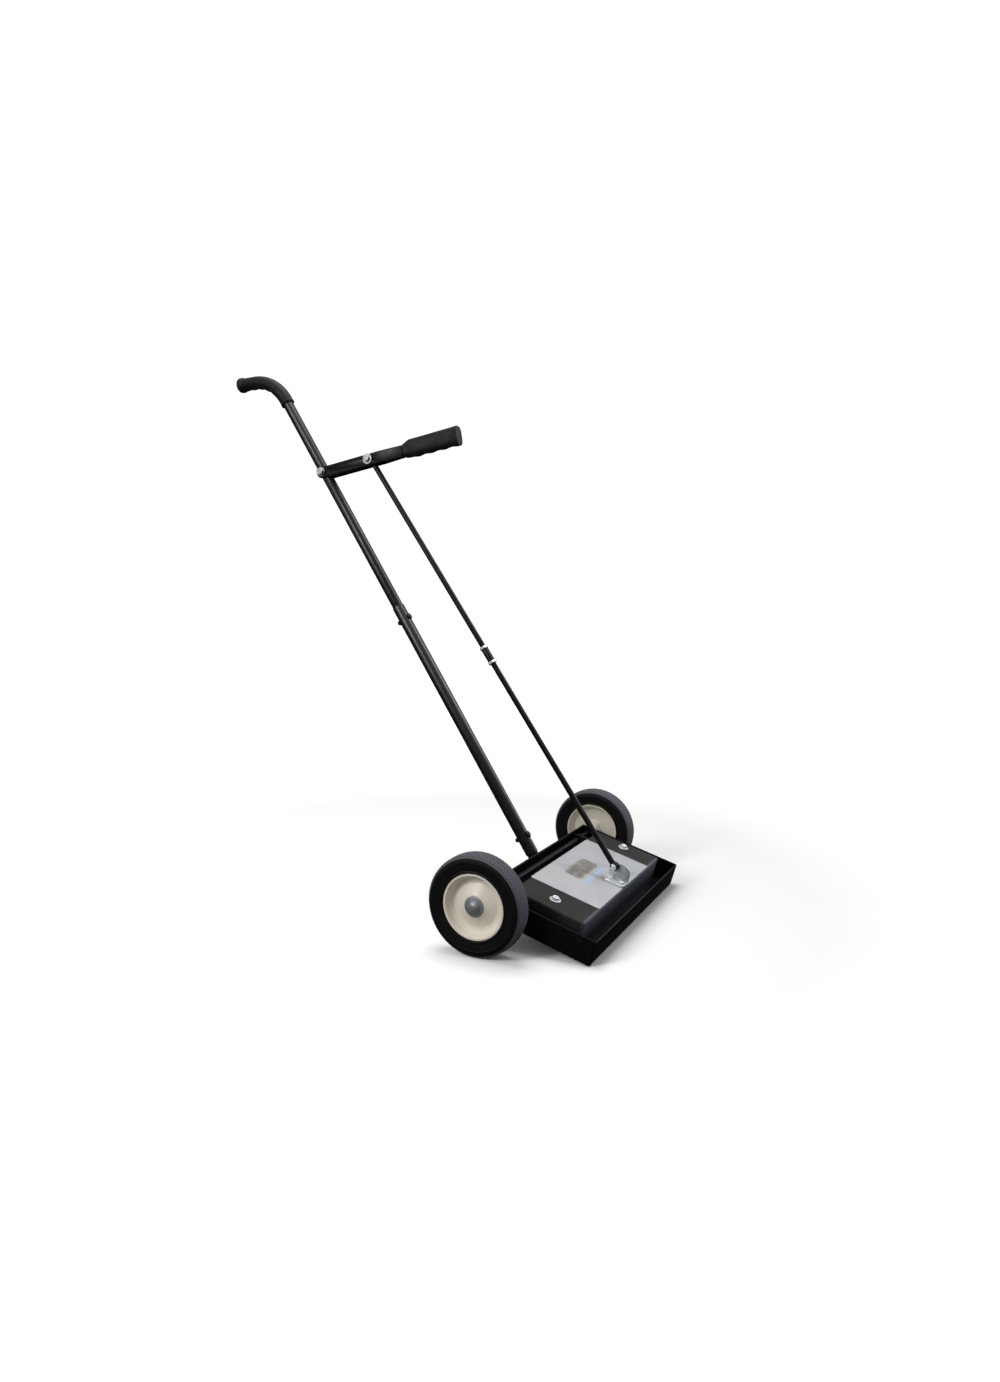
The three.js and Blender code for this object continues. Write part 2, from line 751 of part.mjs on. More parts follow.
const leverTop = leverDepth / 2 - leverDrop;
const leverBottom = -leverDepth / 2 - leverDrop;
const leverInner = upperTubeRadius + runningGap;
const leverOuter = leverInner + leverSheet;
const neckInner = leverNeckHalfWidth - leverSheet;
const leverNose = leverDepth / 2;
const webStart = upperTubeRadius + webToTube;

function leverPlan(straight, neck, end) {
  const shape = new THREE.Shape();
  shape.moveTo(straight, leverNose + 1);
  shape.lineTo(straight, -leverTaperStart);
  shape.lineTo(neck, -end);
  shape.lineTo(-neck, -end);
  shape.lineTo(-straight, -leverTaperStart);
  shape.lineTo(-straight, leverNose + 1);
  return shape;
}

function leverArm() {
  const outline = new THREE.Shape();
  outline.moveTo(-leverTaperEnd, leverTop);
  outline.lineTo(-leverTaperEnd, leverBottom);
  outline.lineTo(0, leverBottom);
  outline.absarc(0, -leverDrop, leverDepth / 2, -Math.PI / 2, Math.PI / 2, false);
  const height = [leverBottom - 1, leverTop + 1];
  const sidesOutside = solid(sideways(outline, -leverOuter, leverOuter))
    .intersect(solid(upright(leverPlan(leverOuter, leverNeckHalfWidth, leverTaperEnd), ...height)));
  const channel = upright(
    leverPlan(leverInner, neckInner, leverTaperEnd - leverSheet),
    leverBottom - 1,
    leverTop - leverSheet,
  );
  const fork = block([-leverInner, leverInner], [-webStart, leverNose + 1], height);
  const tang = block(
    [-leverTangHalfWidth, leverTangHalfWidth],
    [-leverTangEnd, -leverTaperEnd + 1],
    [-leverDrop - leverTangDepth / 2, -leverDrop + leverTangDepth / 2],
  );
  const reach = leverOuter + 1;
  const pivotHole = round('x', boltM10.shank + boltHoleGap, -reach, reach);
  const pinHole = round('x', boltM8.shank + boltHoleGap, -reach, reach).translate(0, -leverPinAlong, 0);
  return sidesOutside
    .subtract(solid(channel))
    .subtract(solid(fork))
    .add(solid(tang))
    .subtract(solid(pivotHole))
    .subtract(solid(pinHole));
}

piece('lever_arm', 'blackPaint', shaped(leverArm()), lever);

// The grip's top is plain behind a short shoulder. Its underside has a wave for each finger.
function leverGrip() {
  const start = -leverGripStart;
  const end = start - leverGripLength;
  const top = leverTop + leverGripRise;
  const bottom = leverBottom - leverGripDrop;
  const stepsPerFinger = 6;
  const steps = fingerCount * stepsPerFinger;
  const outline = new THREE.Shape();
  outline.moveTo(start, leverTop + leverGripStep);
  outline.lineTo(start - leverGripShoulder, top);
  outline.lineTo(end, top);
  for (let i = steps; i > 1; i -= 1) {
    const share = i / steps;
    const wave = fingerDepth * (1 - Math.cos(2 * Math.PI * fingerCount * share)) / 2;
    outline.lineTo(start - leverGripLength * share, bottom - leverGripFlare * share + wave);
  }
  outline.lineTo(start, leverBottom - leverGripStep);
  const bevel = {
    bevelEnabled: true,
    bevelThickness: leverGripRound,
    bevelSize: leverGripRound,
    bevelOffset: -leverGripRound,
    bevelSegments: 3,
  };
  const half = leverGripWidth / 2 - leverGripRound;
  const room = block(
    [-leverTangHalfWidth - gap, leverTangHalfWidth + gap],
    [-leverTangEnd - gap, start + 1],
    [-leverDrop - leverTangDepth / 2 - gap, -leverDrop + leverTangDepth / 2 + gap],
  );
  return solid(sideways(outline, -half, half, bevel)).subtract(solid(room));
}

piece('lever_grip', 'gripRubber', shaped(leverGrip()), lever);

// A bolt along X with a washer under its head and another under its nut.
function crossBolt(prefix, size, seat, group, y) {
  const washerSeat = seat + gap;
  const headSeat = washerSeat + size.washerThickness + gap;
  const bolt = solid(hexagon('x', size.flats, -headSeat - size.headHeight, -headSeat))
    .add(solid(round('x', size.shank, -headSeat - 1, headSeat + size.nut + boltTail)));
  const hole = size.shank + gap;
  const near = washer('x', size.washer, hole, -washerSeat - size.washerThickness, -washerSeat);
  const far = washer('x', size.washer, hole, washerSeat, washerSeat + size.washerThickness);
  const lock = nut('x', size.flats, hole, headSeat, headSeat + size.nut);
  const parts = [['bolt', bolt], ['head_washer', near], ['nut_washer', far], ['nut', lock]];
  for (const [suffix, shape] of parts) {
    const mesh = piece(`${prefix}_${suffix}`, 'zinc', shaped(shape), group);
    mesh.position.y = y;
  }
}

crossBolt('lever_pivot', boltM10, leverOuter, lever, 0);
crossBolt('rod_pin', boltM8, leverOuter, lever, -leverPinAlong);

// ---------------------------------------------------------------- lift rod

function rodEye(z, hole) {
  const half = rodEyeWidth / 2;
  const eye = solid(round('x', rodEyeRadius, -half, half).translate(0, 0, z));
  const bore = solid(round('x', hole, -half - 1, half + 1).translate(0, 0, z));
  return { eye, bore };
}

const couplingMiddle = -upperRodLength - couplingMiddleGap / 2;
const upperEye = rodEye(0, boltM8.shank + boltHoleGap);
const lowerEye = rodEye(-rodLength, liftPinRadius + openPivotPlay);
const upperRod = solid(round('z', rodRadius, -upperRodLength, 0))
  .add(upperEye.eye)
  .subtract(upperEye.bore);
const lowerRodTop = -upperRodLength - couplingMiddleGap;
const lowerRod = solid(round('z', rodRadius, -rodLength, lowerRodTop))
  .add(lowerEye.eye)
  .subtract(lowerEye.bore);

piece('upper_rod', 'blackPaint', shaped(upperRod), rod);
piece('lower_rod', 'blackPaint', shaped(lowerRod), rod);

const couplingTop = couplingMiddle + couplingLength / 2;
const couplingBottom = couplingMiddle - couplingLength / 2;
const coupling = washer('z', couplingRadius, rodRadius + gap, couplingBottom, couplingTop);
piece('rod_coupling', 'blackPaint', shaped(coupling), rod);

const jamNuts = [
  ['upper_jam_nut', couplingTop + gap],
  ['lower_jam_nut', couplingBottom - gap - jamNutThickness],
];
for (const [name, base] of jamNuts) {
  const lock = nut('z', jamNutFlats, rodRadius + gap, base, base + jamNutThickness);
  piece(name, 'zinc', shaped(lock), rod);
}

// ---------------------------------------------------------------- origin

machine.updateMatrixWorld(true);
const bounds = new THREE.Box3().setFromObject(machine, true);
const centre = bounds.getCenter(new THREE.Vector3());
machine.position.set(-centre.x, -centre.y, -bounds.min.z);

const sweeper = new THREE.Group();
sweeper.add(machine);

export default sweeper;
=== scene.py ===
"""Looks for the walk-behind magnetic floor sweeper with a release lever.

Every size is in metres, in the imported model's frame: X across, the front at -Y, Z up.
Each piece is drawn in the local frame of its group, which is worked out from the model's
joints and boxes, and then stands for the CAD node of the same name.
"""

import json
import math

import bmesh
import bpy
from mathutils import Matrix, Vector

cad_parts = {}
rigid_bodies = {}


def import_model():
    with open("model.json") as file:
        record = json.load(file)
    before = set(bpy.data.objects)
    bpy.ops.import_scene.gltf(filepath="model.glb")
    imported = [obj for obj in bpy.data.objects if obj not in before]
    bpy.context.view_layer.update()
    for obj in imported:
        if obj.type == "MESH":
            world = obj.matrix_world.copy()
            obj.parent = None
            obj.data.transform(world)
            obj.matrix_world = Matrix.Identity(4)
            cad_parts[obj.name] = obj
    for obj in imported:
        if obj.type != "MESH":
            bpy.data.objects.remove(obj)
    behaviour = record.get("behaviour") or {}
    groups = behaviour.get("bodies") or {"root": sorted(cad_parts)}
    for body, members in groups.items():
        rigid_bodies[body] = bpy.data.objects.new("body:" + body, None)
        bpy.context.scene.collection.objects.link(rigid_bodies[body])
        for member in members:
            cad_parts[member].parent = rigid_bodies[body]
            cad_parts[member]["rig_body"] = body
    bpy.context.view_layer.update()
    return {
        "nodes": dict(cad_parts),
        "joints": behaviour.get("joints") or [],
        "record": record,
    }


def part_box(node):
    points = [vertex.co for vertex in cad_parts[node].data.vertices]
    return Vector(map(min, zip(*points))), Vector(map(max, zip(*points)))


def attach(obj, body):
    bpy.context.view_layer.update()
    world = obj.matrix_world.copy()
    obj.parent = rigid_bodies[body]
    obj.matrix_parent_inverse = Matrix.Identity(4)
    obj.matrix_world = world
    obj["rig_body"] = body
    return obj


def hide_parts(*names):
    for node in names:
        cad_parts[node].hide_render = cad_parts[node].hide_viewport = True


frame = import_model()

MM = 0.001
POINT = 1e-5  # the radius of a ring that closes an end and still keeps all its points
TURN = 2 * math.pi
ACROSS = Vector((1, 0, 0))


# ---- places


def joint(name):
    return next(j for j in frame["joints"] if j["name"] == name)


def frame_at(origin, up):
    """A local frame at origin, with X across and Z along up."""
    up = up.normalized()
    back = up.cross(ACROSS)
    turned = Matrix((ACROSS, back, up)).transposed().to_4x4()
    return Matrix.Translation(origin) @ turned


def span(node, place):
    """Lowest and highest corner of a CAD node, measured in a local frame."""
    inverse = place.inverted()
    points = [inverse @ v.co for v in frame["nodes"][node].data.vertices]
    low = Vector([min(p[i] for p in points) for i in range(3)])
    high = Vector([max(p[i] for p in points) for i in range(3)])
    return low, high


def middle(node):
    low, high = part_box(node)
    return (low + high) / 2


def moved(x, y, z):
    return Matrix.Translation((x, y, z))


axle_point = Vector(joint("magnet_lift")["pos_m"])
lever_pivot = Vector(joint("release_lever_pivot")["pos_m"])
rod_pin = Vector(joint("lift_rod_swing")["pos_m"])
underside = next(m for m in frame["record"]["mounts"] if m["name"] == "tray_underside")

tray = frame_at(axle_point, -Vector(underside["axis"]))
handle = frame_at(lever_pivot, lever_pivot - middle("lower_tube"))
lever = frame_at(lever_pivot, ACROSS.cross(lever_pivot - rod_pin))
rod = frame_at(rod_pin, rod_pin - middle("lift_pin"))
slots = {part["node"]: part["material_slot"] for part in frame["record"]["subparts"]}

# Each turns a +X axis to the direction that it is named after.
TO_REAR = Matrix.Rotation(math.pi / 2, 4, "Z")
DOWN = Matrix.Rotation(math.pi / 2, 4, "Y")
UP = Matrix.Rotation(-math.pi / 2, 4, "Y")
HALF_TURN = Matrix.Rotation(math.pi, 4, "Z")
WHEEL_SIDES = (("left", Matrix()), ("right", HALF_TURN))


# ---- camera

CAMERA_PLACE = (-1.788367, -1.101499, 0.699003)
AZIMUTH = math.radians(-63.17172)
ELEVATION = math.radians(6.24034)
FOCAL_LENGTH = 23.325


def add_camera():
    data = bpy.data.cameras.new("camera")
    data.sensor_fit = "AUTO"
    data.sensor_width = 36
    data.lens = FOCAL_LENGTH
    camera = bpy.data.objects.new("camera", data)
    bpy.context.scene.collection.objects.link(camera)
    back = Vector((
        math.sin(AZIMUTH) * math.cos(ELEVATION),
        -math.cos(AZIMUTH) * math.cos(ELEVATION),
        math.sin(ELEVATION),
    ))
    right = Vector((math.cos(AZIMUTH), math.sin(AZIMUTH), 0))
    turned = Matrix((right, back.cross(right), back)).transposed().to_4x4()
    camera.matrix_world = Matrix.Translation(CAMERA_PLACE) @ turned
    bpy.context.scene.camera = camera


add_camera()


# ---- materials


class Nodes:
    """A node tree, with short ways to add and join its nodes."""

    def __init__(self, tree):
        self.tree = tree

    def add(self, kind, links=(), **values):
        node = self.tree.nodes.new("ShaderNode" + kind)
        for name, value in values.items():
            setattr(node, name, value)
        for socket, source in dict(links).items():
            if isinstance(source, bpy.types.NodeSocket):
                self.tree.links.new(source, node.inputs[socket])
            else:
                node.inputs[socket].default_value = source
        return node

    def ramp(self, value, low, high, start=0.3, end=0.7):
        """A number that runs from low to high as value runs from start to end."""
        return self.add("MapRange", {
            "Value": value,
            "From Min": start,
            "From Max": end,
            "To Min": low,
            "To Max": high,
        }).outputs[0]


class Shader(Nodes):
    """A material's nodes. Places are in metres, in the model's frame."""

    def __init__(self, name, **sockets):
        self.material = bpy.data.materials.new(name)
        self.material.use_nodes = True
        super().__init__(self.material.node_tree)
        self.surface = self.tree.nodes["Principled BSDF"]
        self.where = self.add("TexCoord").outputs["Object"]
        for socket, value in sockets.items():
            self.surface.inputs[socket.replace("_", " ")].default_value = value

    def local(self, place):
        """Coordinates in a local frame."""
        inverse = place.inverted()
        turned = self.add("Mapping", {
            "Vector": self.where,
            "Rotation": inverse.to_euler(),
            "Location": inverse.translation,
        })
        return turned.outputs[0]

    def noise(self, size, detail=4, roughness=0.55, where=None):
        return self.add("TexNoise", {
            "Vector": where or self.where,
            "Scale": 1 / size,
            "Detail": detail,
            "Roughness": roughness,
        }).outputs["Fac"]

    def mix(self, share, first, second):
        """A colour between two. Each is an output or a plain red, green and blue."""
        links = {0: share}
        for socket, source in ((6, first), (7, second)):
            links[socket] = (*source, 1) if isinstance(source, tuple) else source
        return self.add("Mix", links, data_type="RGBA").outputs[2]

    def cloudy(self, noise, first, second):
        """A colour that runs from first to second over a noise's middle range."""
        return self.mix(self.ramp(noise, 0, 1), first, second)

    def math(self, operation, *values):
        return self.add("Math", dict(enumerate(values)), operation=operation).outputs[0]

    def edges(self, radius):
        """1 where the surface turns over an edge, and 0 elsewhere."""
        soft = self.add("Bevel", {"Radius": radius}, samples=4).outputs[0]
        flat = self.add("NewGeometry").outputs["Normal"]
        turn = self.add("VectorMath", {0: soft, 1: flat}, operation="DOT_PRODUCT")
        return self.ramp(turn.outputs["Value"], 1, 0, 0.75, 0.99)

    def feed(self, socket, source):
        self.tree.links.new(source, self.surface.inputs[socket])

    def colour(self, source):
        self.feed("Base Color", source)

    def rough(self, source):
        self.feed("Roughness", source)

    def bump(self, height, distance, strength):
        node = self.add("Bump", {"Height": height, "Distance": distance, "Strength": strength})
        self.feed("Normal", node.outputs[0])


def black_paint(name="black_paint", gloss=0.16):
    """Semi-gloss powder coat: orange peel, faint dust and edges rubbed a little lighter."""
    s = Shader(name, Specular_IOR_Level=gloss)
    cloud = s.noise(60 * MM)
    dust = s.noise(9 * MM, detail=6, roughness=0.7)
    base = s.cloudy(cloud, (0.0032, 0.0031, 0.0032), (0.0052, 0.005, 0.005))
    dusty = s.mix(s.ramp(dust, 0, 0.25, 0.5, 0.75), base, (0.02, 0.0185, 0.017))
    s.colour(s.mix(s.math("MULTIPLY", s.edges(0.8 * MM), 0.35), dusty, (0.06, 0.058, 0.058)))
    s.rough(s.ramp(dust, 0.3, 0.44))
    s.bump(s.noise(1.1 * MM, detail=2), 0.06 * MM, 0.5)
    return s.material


def cover_paint():
    """The magnet box's coat: dusty and warm on top, with a painted bluish reflection along its
    front face that fades to painted shade at the face's bottom.
    """
    s = Shader("cover_paint", Specular_IOR_Level=0.16)
    low, high = span("magnet_cover", tray)
    place = s.add("SeparateXYZ", {0: s.local(tray)}).outputs
    # Painted reflection mask: 1 along the front face, where a lighter blue stands in for light
    # from the front.
    painted_reflection_band = s.ramp(place["Y"], 1, 0, low.y + 0.5 * MM, low.y + 7 * MM)
    cloud = s.noise(40 * MM, detail=5)
    dust = s.noise(6 * MM, detail=6, roughness=0.7)
    top = s.cloudy(cloud, (0.013, 0.0118, 0.0102), (0.02, 0.018, 0.0155))
    # Painted reflection: the front face's lighter blue grey stands in for a cool light from the
    # front.
    face = s.cloudy(cloud, (0.07, 0.07, 0.084), (0.1, 0.1, 0.12))
    # Painted shade: the front face darkens towards its bottom, where the tray's front wall shades
    # it.
    painted_lower_shade = s.ramp(place["Z"], 0.8, 0, low.z + 0.25 * (high.z - low.z), high.z - 6 * MM)
    face = s.mix(painted_lower_shade, face, (0.008, 0.008, 0.009))
    base = s.mix(painted_reflection_band, top, face)
    base = s.mix(s.ramp(dust, 0, 0.2, 0.5, 0.75), base, (0.045, 0.042, 0.038))
    s.colour(s.mix(s.math("MULTIPLY", s.edges(0.8 * MM), 0.3), base, (0.08, 0.078, 0.078)))
    s.rough(s.ramp(dust, 0.42, 0.58))
    s.bump(s.noise(1.1 * MM, detail=2), 0.06 * MM, 0.5)
    return s.material


def zinc_plate():
    """Bright zinc over turned or pressed steel, with a faint blue and yellow cast."""
    s = Shader("zinc_plate", Metallic=0.75)
    cast = s.noise(7 * MM, detail=3)
    fine = s.noise(0.8 * MM, detail=5, roughness=0.7)
    plate = s.cloudy(cast, (0.72, 0.76, 0.82), (0.82, 0.81, 0.76))
    s.colour(s.mix(s.ramp(fine, 0, 0.4, 0.5, 0.8), plate, (0.48, 0.49, 0.5)))
    s.rough(s.ramp(fine, 0.22, 0.42))
    s.bump(fine, 0.03 * MM, 0.4)
    return s.material


def dull_zinc():
    """Zinc over hot-rolled plate: greyer and rougher than the bolts, with a cool cast."""
    s = Shader("dull_zinc", Metallic=0.85)
    cast = s.noise(9 * MM, detail=5, roughness=0.6)
    fine = s.noise(1 * MM, detail=5, roughness=0.7)
    plate = s.cloudy(cast, (0.3, 0.33, 0.36), (0.46, 0.48, 0.49))
    s.colour(s.mix(s.math("MULTIPLY", s.edges(1 * MM), 0.6), plate, (0.75, 0.76, 0.74)))
    s.rough(s.ramp(fine, 0.42, 0.6))
    s.bump(fine, 0.05 * MM, 0.5)
    return s.material


def axle_steel():
    """A nearly black bar, with fine drawn lines along it and a trace of oil."""
    s = Shader("axle_steel", Metallic=1.0)
    along = s.add("Mapping", {"Vector": s.where, "Scale": (0.05, 1, 1)}).outputs[0]
    lines = s.noise(0.5 * MM, detail=5, where=along)
    s.colour(s.cloudy(lines, (0.01, 0.01, 0.011), (0.02, 0.02, 0.021)))
    s.rough(s.ramp(s.noise(12 * MM), 0.42, 0.6))
    s.bump(lines, 0.03 * MM, 0.5)
    return s.material


def ferrite():
    """Sintered ferrite: a dark grain with small pale chips."""
    s = Shader("ferrite", Specular_IOR_Level=0.4)
    grain = s.noise(0.9 * MM, detail=6, roughness=0.7)
    chips = s.add("TexVoronoi", {"Vector": s.where, "Scale": 1 / (3 * MM)}).outputs["Distance"]
    base = s.cloudy(grain, (0.03, 0.03, 0.032), (0.075, 0.074, 0.075))
    s.colour(s.mix(s.ramp(chips, 0.5, 0, 0.0, 0.12), base, (0.16, 0.16, 0.165)))
    s.rough(s.ramp(grain, 0.55, 0.8))
    s.bump(grain, 0.12 * MM, 0.6)
    return s.material


def tyre_rubber():
    """Black sidewalls with a faint bloom."""
    s = Shader("tyre_sidewall", Specular_IOR_Level=0.12)
    bloom = s.noise(14 * MM, detail=5, roughness=0.65)
    fine = s.noise(0.7 * MM, detail=4)
    s.colour(s.cloudy(bloom, (0.0026, 0.0026, 0.0028), (0.0048, 0.0047, 0.005)))
    s.rough(s.ramp(bloom, 0.5, 0.66))
    s.bump(fine, 0.05 * MM, 0.5)
    return s.material


def tyre_tread():
    """The tread's tops are a dusty blue grey, partly rubbed dust and partly painted light from a
    cool lamp in front, with their edges rubbed lighter still.
    """
    s = Shader("tyre_tread", Specular_IOR_Level=0.2)
    scuff = s.noise(4 * MM, detail=6, roughness=0.7)
    # Partly painted light: this blue grey is dust and wear, and in part a cool light from the
    # front painted in.
    worn_and_lit = s.cloudy(scuff, (0.05, 0.051, 0.058), (0.085, 0.086, 0.097))
    s.colour(s.mix(s.math("MULTIPLY", s.edges(0.7 * MM), 0.5), worn_and_lit, (0.12, 0.121, 0.135)))
    s.rough(s.ramp(scuff, 0.6, 0.85))
    s.bump(s.noise(0.5 * MM, detail=4), 0.08 * MM, 0.7)
    return s.material


def grip_rubber():
    """Soft vinyl dip with a very fine stipple and skin-polished patches."""
    s = Shader("grip_rubber", Specular_IOR_Level=0.16, Sheen_Weight=0.03, Sheen_Roughness=0.5)
    patch = s.noise(18 * MM, detail=4)
    stipple = s.add("TexVoronoi", {"Vector": s.where, "Scale": 1 / (1.3 * MM)}).outputs["Distance"]
    s.colour(s.cloudy(patch, (0.0042, 0.0042, 0.0044), (0.0075, 0.0073, 0.0075)))
    s.rough(s.ramp(patch, 0.42, 0.62))
    s.bump(stipple, 0.05 * MM, 0.5)
    return s.material


def hub_plastic():
    """Cream moulded plastic, a little darker and warmer where dust settles."""
    s = Shader("hub_plastic", Specular_IOR_Level=0.5, Coat_Weight=0.08, Coat_Roughness=0.3)
    cloud = s.noise(35 * MM, detail=5)
    speck = s.noise(1.6 * MM, detail=4, roughness=0.75)
    clean = s.cloudy(cloud, (0.68, 0.63, 0.54), (0.74, 0.69, 0.6))
    s.colour(s.mix(s.ramp(speck, 0, 0.5, 0.62, 0.8), clean, (0.5, 0.45, 0.36)))
    s.rough(s.ramp(cloud, 0.34, 0.48))
    s.bump(s.noise(2.2 * MM, detail=3), 0.06 * MM, 0.4)
    return s.material


def bush_plastic():
    """Plain grey moulded plastic."""
    s = Shader("bush_plastic", Specular_IOR_Level=0.45)
    cloud = s.noise(5 * MM, detail=4)
    s.colour(s.cloudy(cloud, (0.14, 0.138, 0.13), (0.2, 0.198, 0.19)))
    s.rough(s.ramp(cloud, 0.4, 0.6))
    s.bump(cloud, 0.04 * MM, 0.4)
    return s.material


def label_plastic():
    """A plain printed plate: a picture block and a stripe, with no writing, and a small darker
    grey-blue patch near the lift bracket.
    """
    s = Shader("label_plastic", Specular_IOR_Level=0.5, Coat_Weight=0.06, Coat_Roughness=0.3)
    axes = s.add("SeparateXYZ", {0: s.local(tray)}).outputs

    def within(axis, low, high, soft=2.5 * MM):
        rise = s.ramp(axes[axis], 0, 1, low - soft, low + soft)
        fall = s.ramp(axes[axis], 1, 0, high - soft, high + soft)
        return s.math("MULTIPLY", rise, fall)

    def patch(left, right, front, back, soft=2.5 * MM):
        return s.math("MULTIPLY", within(0, left, right, soft), within(1, front, back, soft))

    print_grain = s.noise(1.5 * MM, detail=3, roughness=0.7)
    cloud = s.noise(50 * MM, detail=3)
    paper = s.cloudy(cloud, (0.325, 0.318, 0.322), (0.37, 0.362, 0.367))
    paper = s.mix(s.ramp(print_grain, 0, 0.25, 0.45, 0.8), paper, (0.27, 0.265, 0.268))
    mottle = s.noise(11 * MM, detail=5, roughness=0.65)
    picture = s.mix(s.ramp(mottle, 0, 1, 0.35, 0.65), (0.1, 0.088, 0.074), (0.22, 0.205, 0.18))
    block = patch(-68 * MM, 46 * MM, -112 * MM, -70 * MM, 9 * MM)
    ragged = s.math("ADD", block, s.ramp(mottle, -0.3, 0.3))
    art = s.mix(s.ramp(ragged, 0, 1, 0.35, 0.75), paper, picture)
    art = s.mix(patch(-80 * MM, 42 * MM, -128 * MM, -120 * MM, 3 * MM), art, (0.29, 0.39, 0.52))
    # A small darker grey-blue patch near the lift bracket.
    art = s.mix(s.math("MULTIPLY", patch(66 * MM, 92 * MM, -186 * MM, -174 * MM), 0.6),
                art, (0.24, 0.27, 0.29))
    s.colour(art)
    s.rough(s.ramp(print_grain, 0.3, 0.42))
    s.bump(print_grain, 0.02 * MM, 0.3)
    return s.material


finishes = {make.__name__: make() for make in (
    black_paint, zinc_plate, axle_steel, ferrite, tyre_rubber,
    grip_rubber, hub_plastic, bush_plastic, label_plastic,
)}
tread_finish = tyre_tread()
tray_finish = black_paint("tray_paint", 0.05)
tube_finish = black_paint("tube_paint", 0.42)
cover_finish = cover_paint()
plate_finish = dull_zinc()


# ---- mesh tools


def piece_of(mesh, gap=1e-7, flat_angle=None):
    """A new piece, its close points merged and, if asked, its flat faces joined.

    settle() gives it its final name.
    """
    body = bmesh.new()
    body.from_mesh(mesh)
    bmesh.ops.remove_doubles(body, verts=body.verts, dist=gap)
    if flat_angle:
        bmesh.ops.dissolve_limit(
            body, angle_limit=flat_angle, verts=body.verts, edges=body.edges
        )
    else:
        bmesh.ops.recalc_face_normals(body, faces=body.faces)
    body.to_mesh(mesh)
    body.free()
    piece = bpy.data.objects.new("piece", mesh)
    bpy.context.scene.collection.objects.link(piece)
    return piece


def drawn(points, faces):
    mesh = bpy.data.meshes.new("piece")
    mesh.from_pydata([tuple(p) for p in points], [], faces)
    return piece_of(mesh)


def loft(rings, loop=False):
    """Joins rings of points in turn. The ends are capped, or joined to each other."""
    count = len(rings[0])
    points = [p for ring in rings for p in ring]
    pairs = list(zip(range(len(rings)), range(1, len(rings))))
    if loop:
        pairs.append((len(rings) - 1, 0))
    faces = []
    for a, b in pairs:
        for i in range(count):
            j = (i + 1) % count
            faces.append((a * count + i, a * count + j, b * count + j, b * count + i))
    if not loop:
        last = (len(rings) - 1) * count
        faces.append(tuple(reversed(range(count))))
        faces.append(tuple(range(last, last + count)))
    return drawn(points, faces)


def ring_points(along, radius, sides=48):
    """A ring round the X axis. radius is a number or a function of the angle."""
    size = radius if callable(radius) else lambda angle: radius
    angles = [TURN * i / sides for i in range(sides)]
    return [Vector((along, size(a) * math.cos(a), size(a) * math.sin(a))) for a in angles]


def lathe(profile, sides=64):
    """A body of revolution about X. The profile's points are (radius, x)."""
    closed = profile[0][0] > 0 and profile[-1][0] > 0
    rings = [ring_points(x, max(radius, POINT), sides) for radius, x in profile]
    return loft(rings, loop=closed)


def bar_profile(radius, low, high, edge):
    """The profile of a round bar with a chamfer at each end."""
    return [
        (0, low),
        (radius - edge, low),
        (radius, low + edge),
        (radius, high - edge),
        (radius - edge, high),
        (0, high),
    ]


def arc(centre, radius, start, end, steps=6):
    """Points on an arc, as pairs. Angles are in degrees from the first axis."""
    angles = [math.radians(start + (end - start) * i / steps) for i in range(steps + 1)]
    return [(centre[0] + radius * math.cos(a), centre[1] + radius * math.sin(a)) for a in angles]


def filleted(corners, steps=5):
    """Rounds the corners of an outline. Each corner is (first, second, radius)."""
    outline = []
    count = len(corners)
    for i, (u, v, radius) in enumerate(corners):
        here = Vector((u, v))
        if radius <= 0:
            outline.append((u, v))
            continue
        before = (Vector(corners[i - 1][:2]) - here).normalized()
        after = (Vector(corners[(i + 1) % count][:2]) - here).normalized()
        half = before.angle(after) / 2
        reach = radius / math.tan(half)
        centre = here + (before + after).normalized() * radius / math.sin(half)
        start = here + before * reach - centre
        turn = (here + after * reach - centre).angle_signed(start)
        for k in range(steps + 1):
            c, s = math.cos(turn * k / steps), math.sin(turn * k / steps)
            outline.append((
                centre.x + start.x * c - start.y * s,
                centre.y + start.x * s + start.y * c,
            ))
    return outline


def extruded(outline, low, high, axis=0):
    """An outline in the other two axes, drawn out along one axis."""
    return loft([[Vector((*p[:axis], w, *p[axis:])) for p in outline] for w in (low, high)])


def apply_modifiers(piece):
    graph = bpy.context.evaluated_depsgraph_get()
    mesh = bpy.data.meshes.new_from_object(piece.evaluated_get(graph))
    piece.modifiers.clear()
    piece.data = mesh
    return piece


def combined(piece, other, operation):
    cut = piece.modifiers.new("combine", "BOOLEAN")
    cut.object = other
    cut.operation = operation
    cut.solver = "EXACT"
    apply_modifiers(piece)
    bpy.data.objects.remove(other)
    return piece


def drilled(piece, axis, radius, centre, reach, sides=32):
    """Cuts a round hole through a piece. axis turns +X to the hole's direction."""
    cutter = lathe([(0, -reach), (radius, -reach), (radius, reach), (0, reach)], sides)
    cutter.data.transform(Matrix.Translation(centre) @ axis)
    return combined(piece, cutter, "DIFFERENCE")


def bevelled(piece, width, segments=2, angle=35):
    edge = piece.modifiers.new("edge", "BEVEL")
    edge.width = width
    edge.segments = segments
    edge.limit_method = "ANGLE"
    edge.angle_limit = math.radians(angle)
    return apply_modifiers(piece)


def copied(node, place, width, segments=2):
    """A flat-sided CAD node drawn again in a local frame, with its edges rounded."""
    mesh = frame["nodes"][node].data.copy()
    mesh.transform(place.inverted())
    mesh.materials.clear()
    return bevelled(piece_of(mesh, 1e-6, math.radians(1)), width, segments)


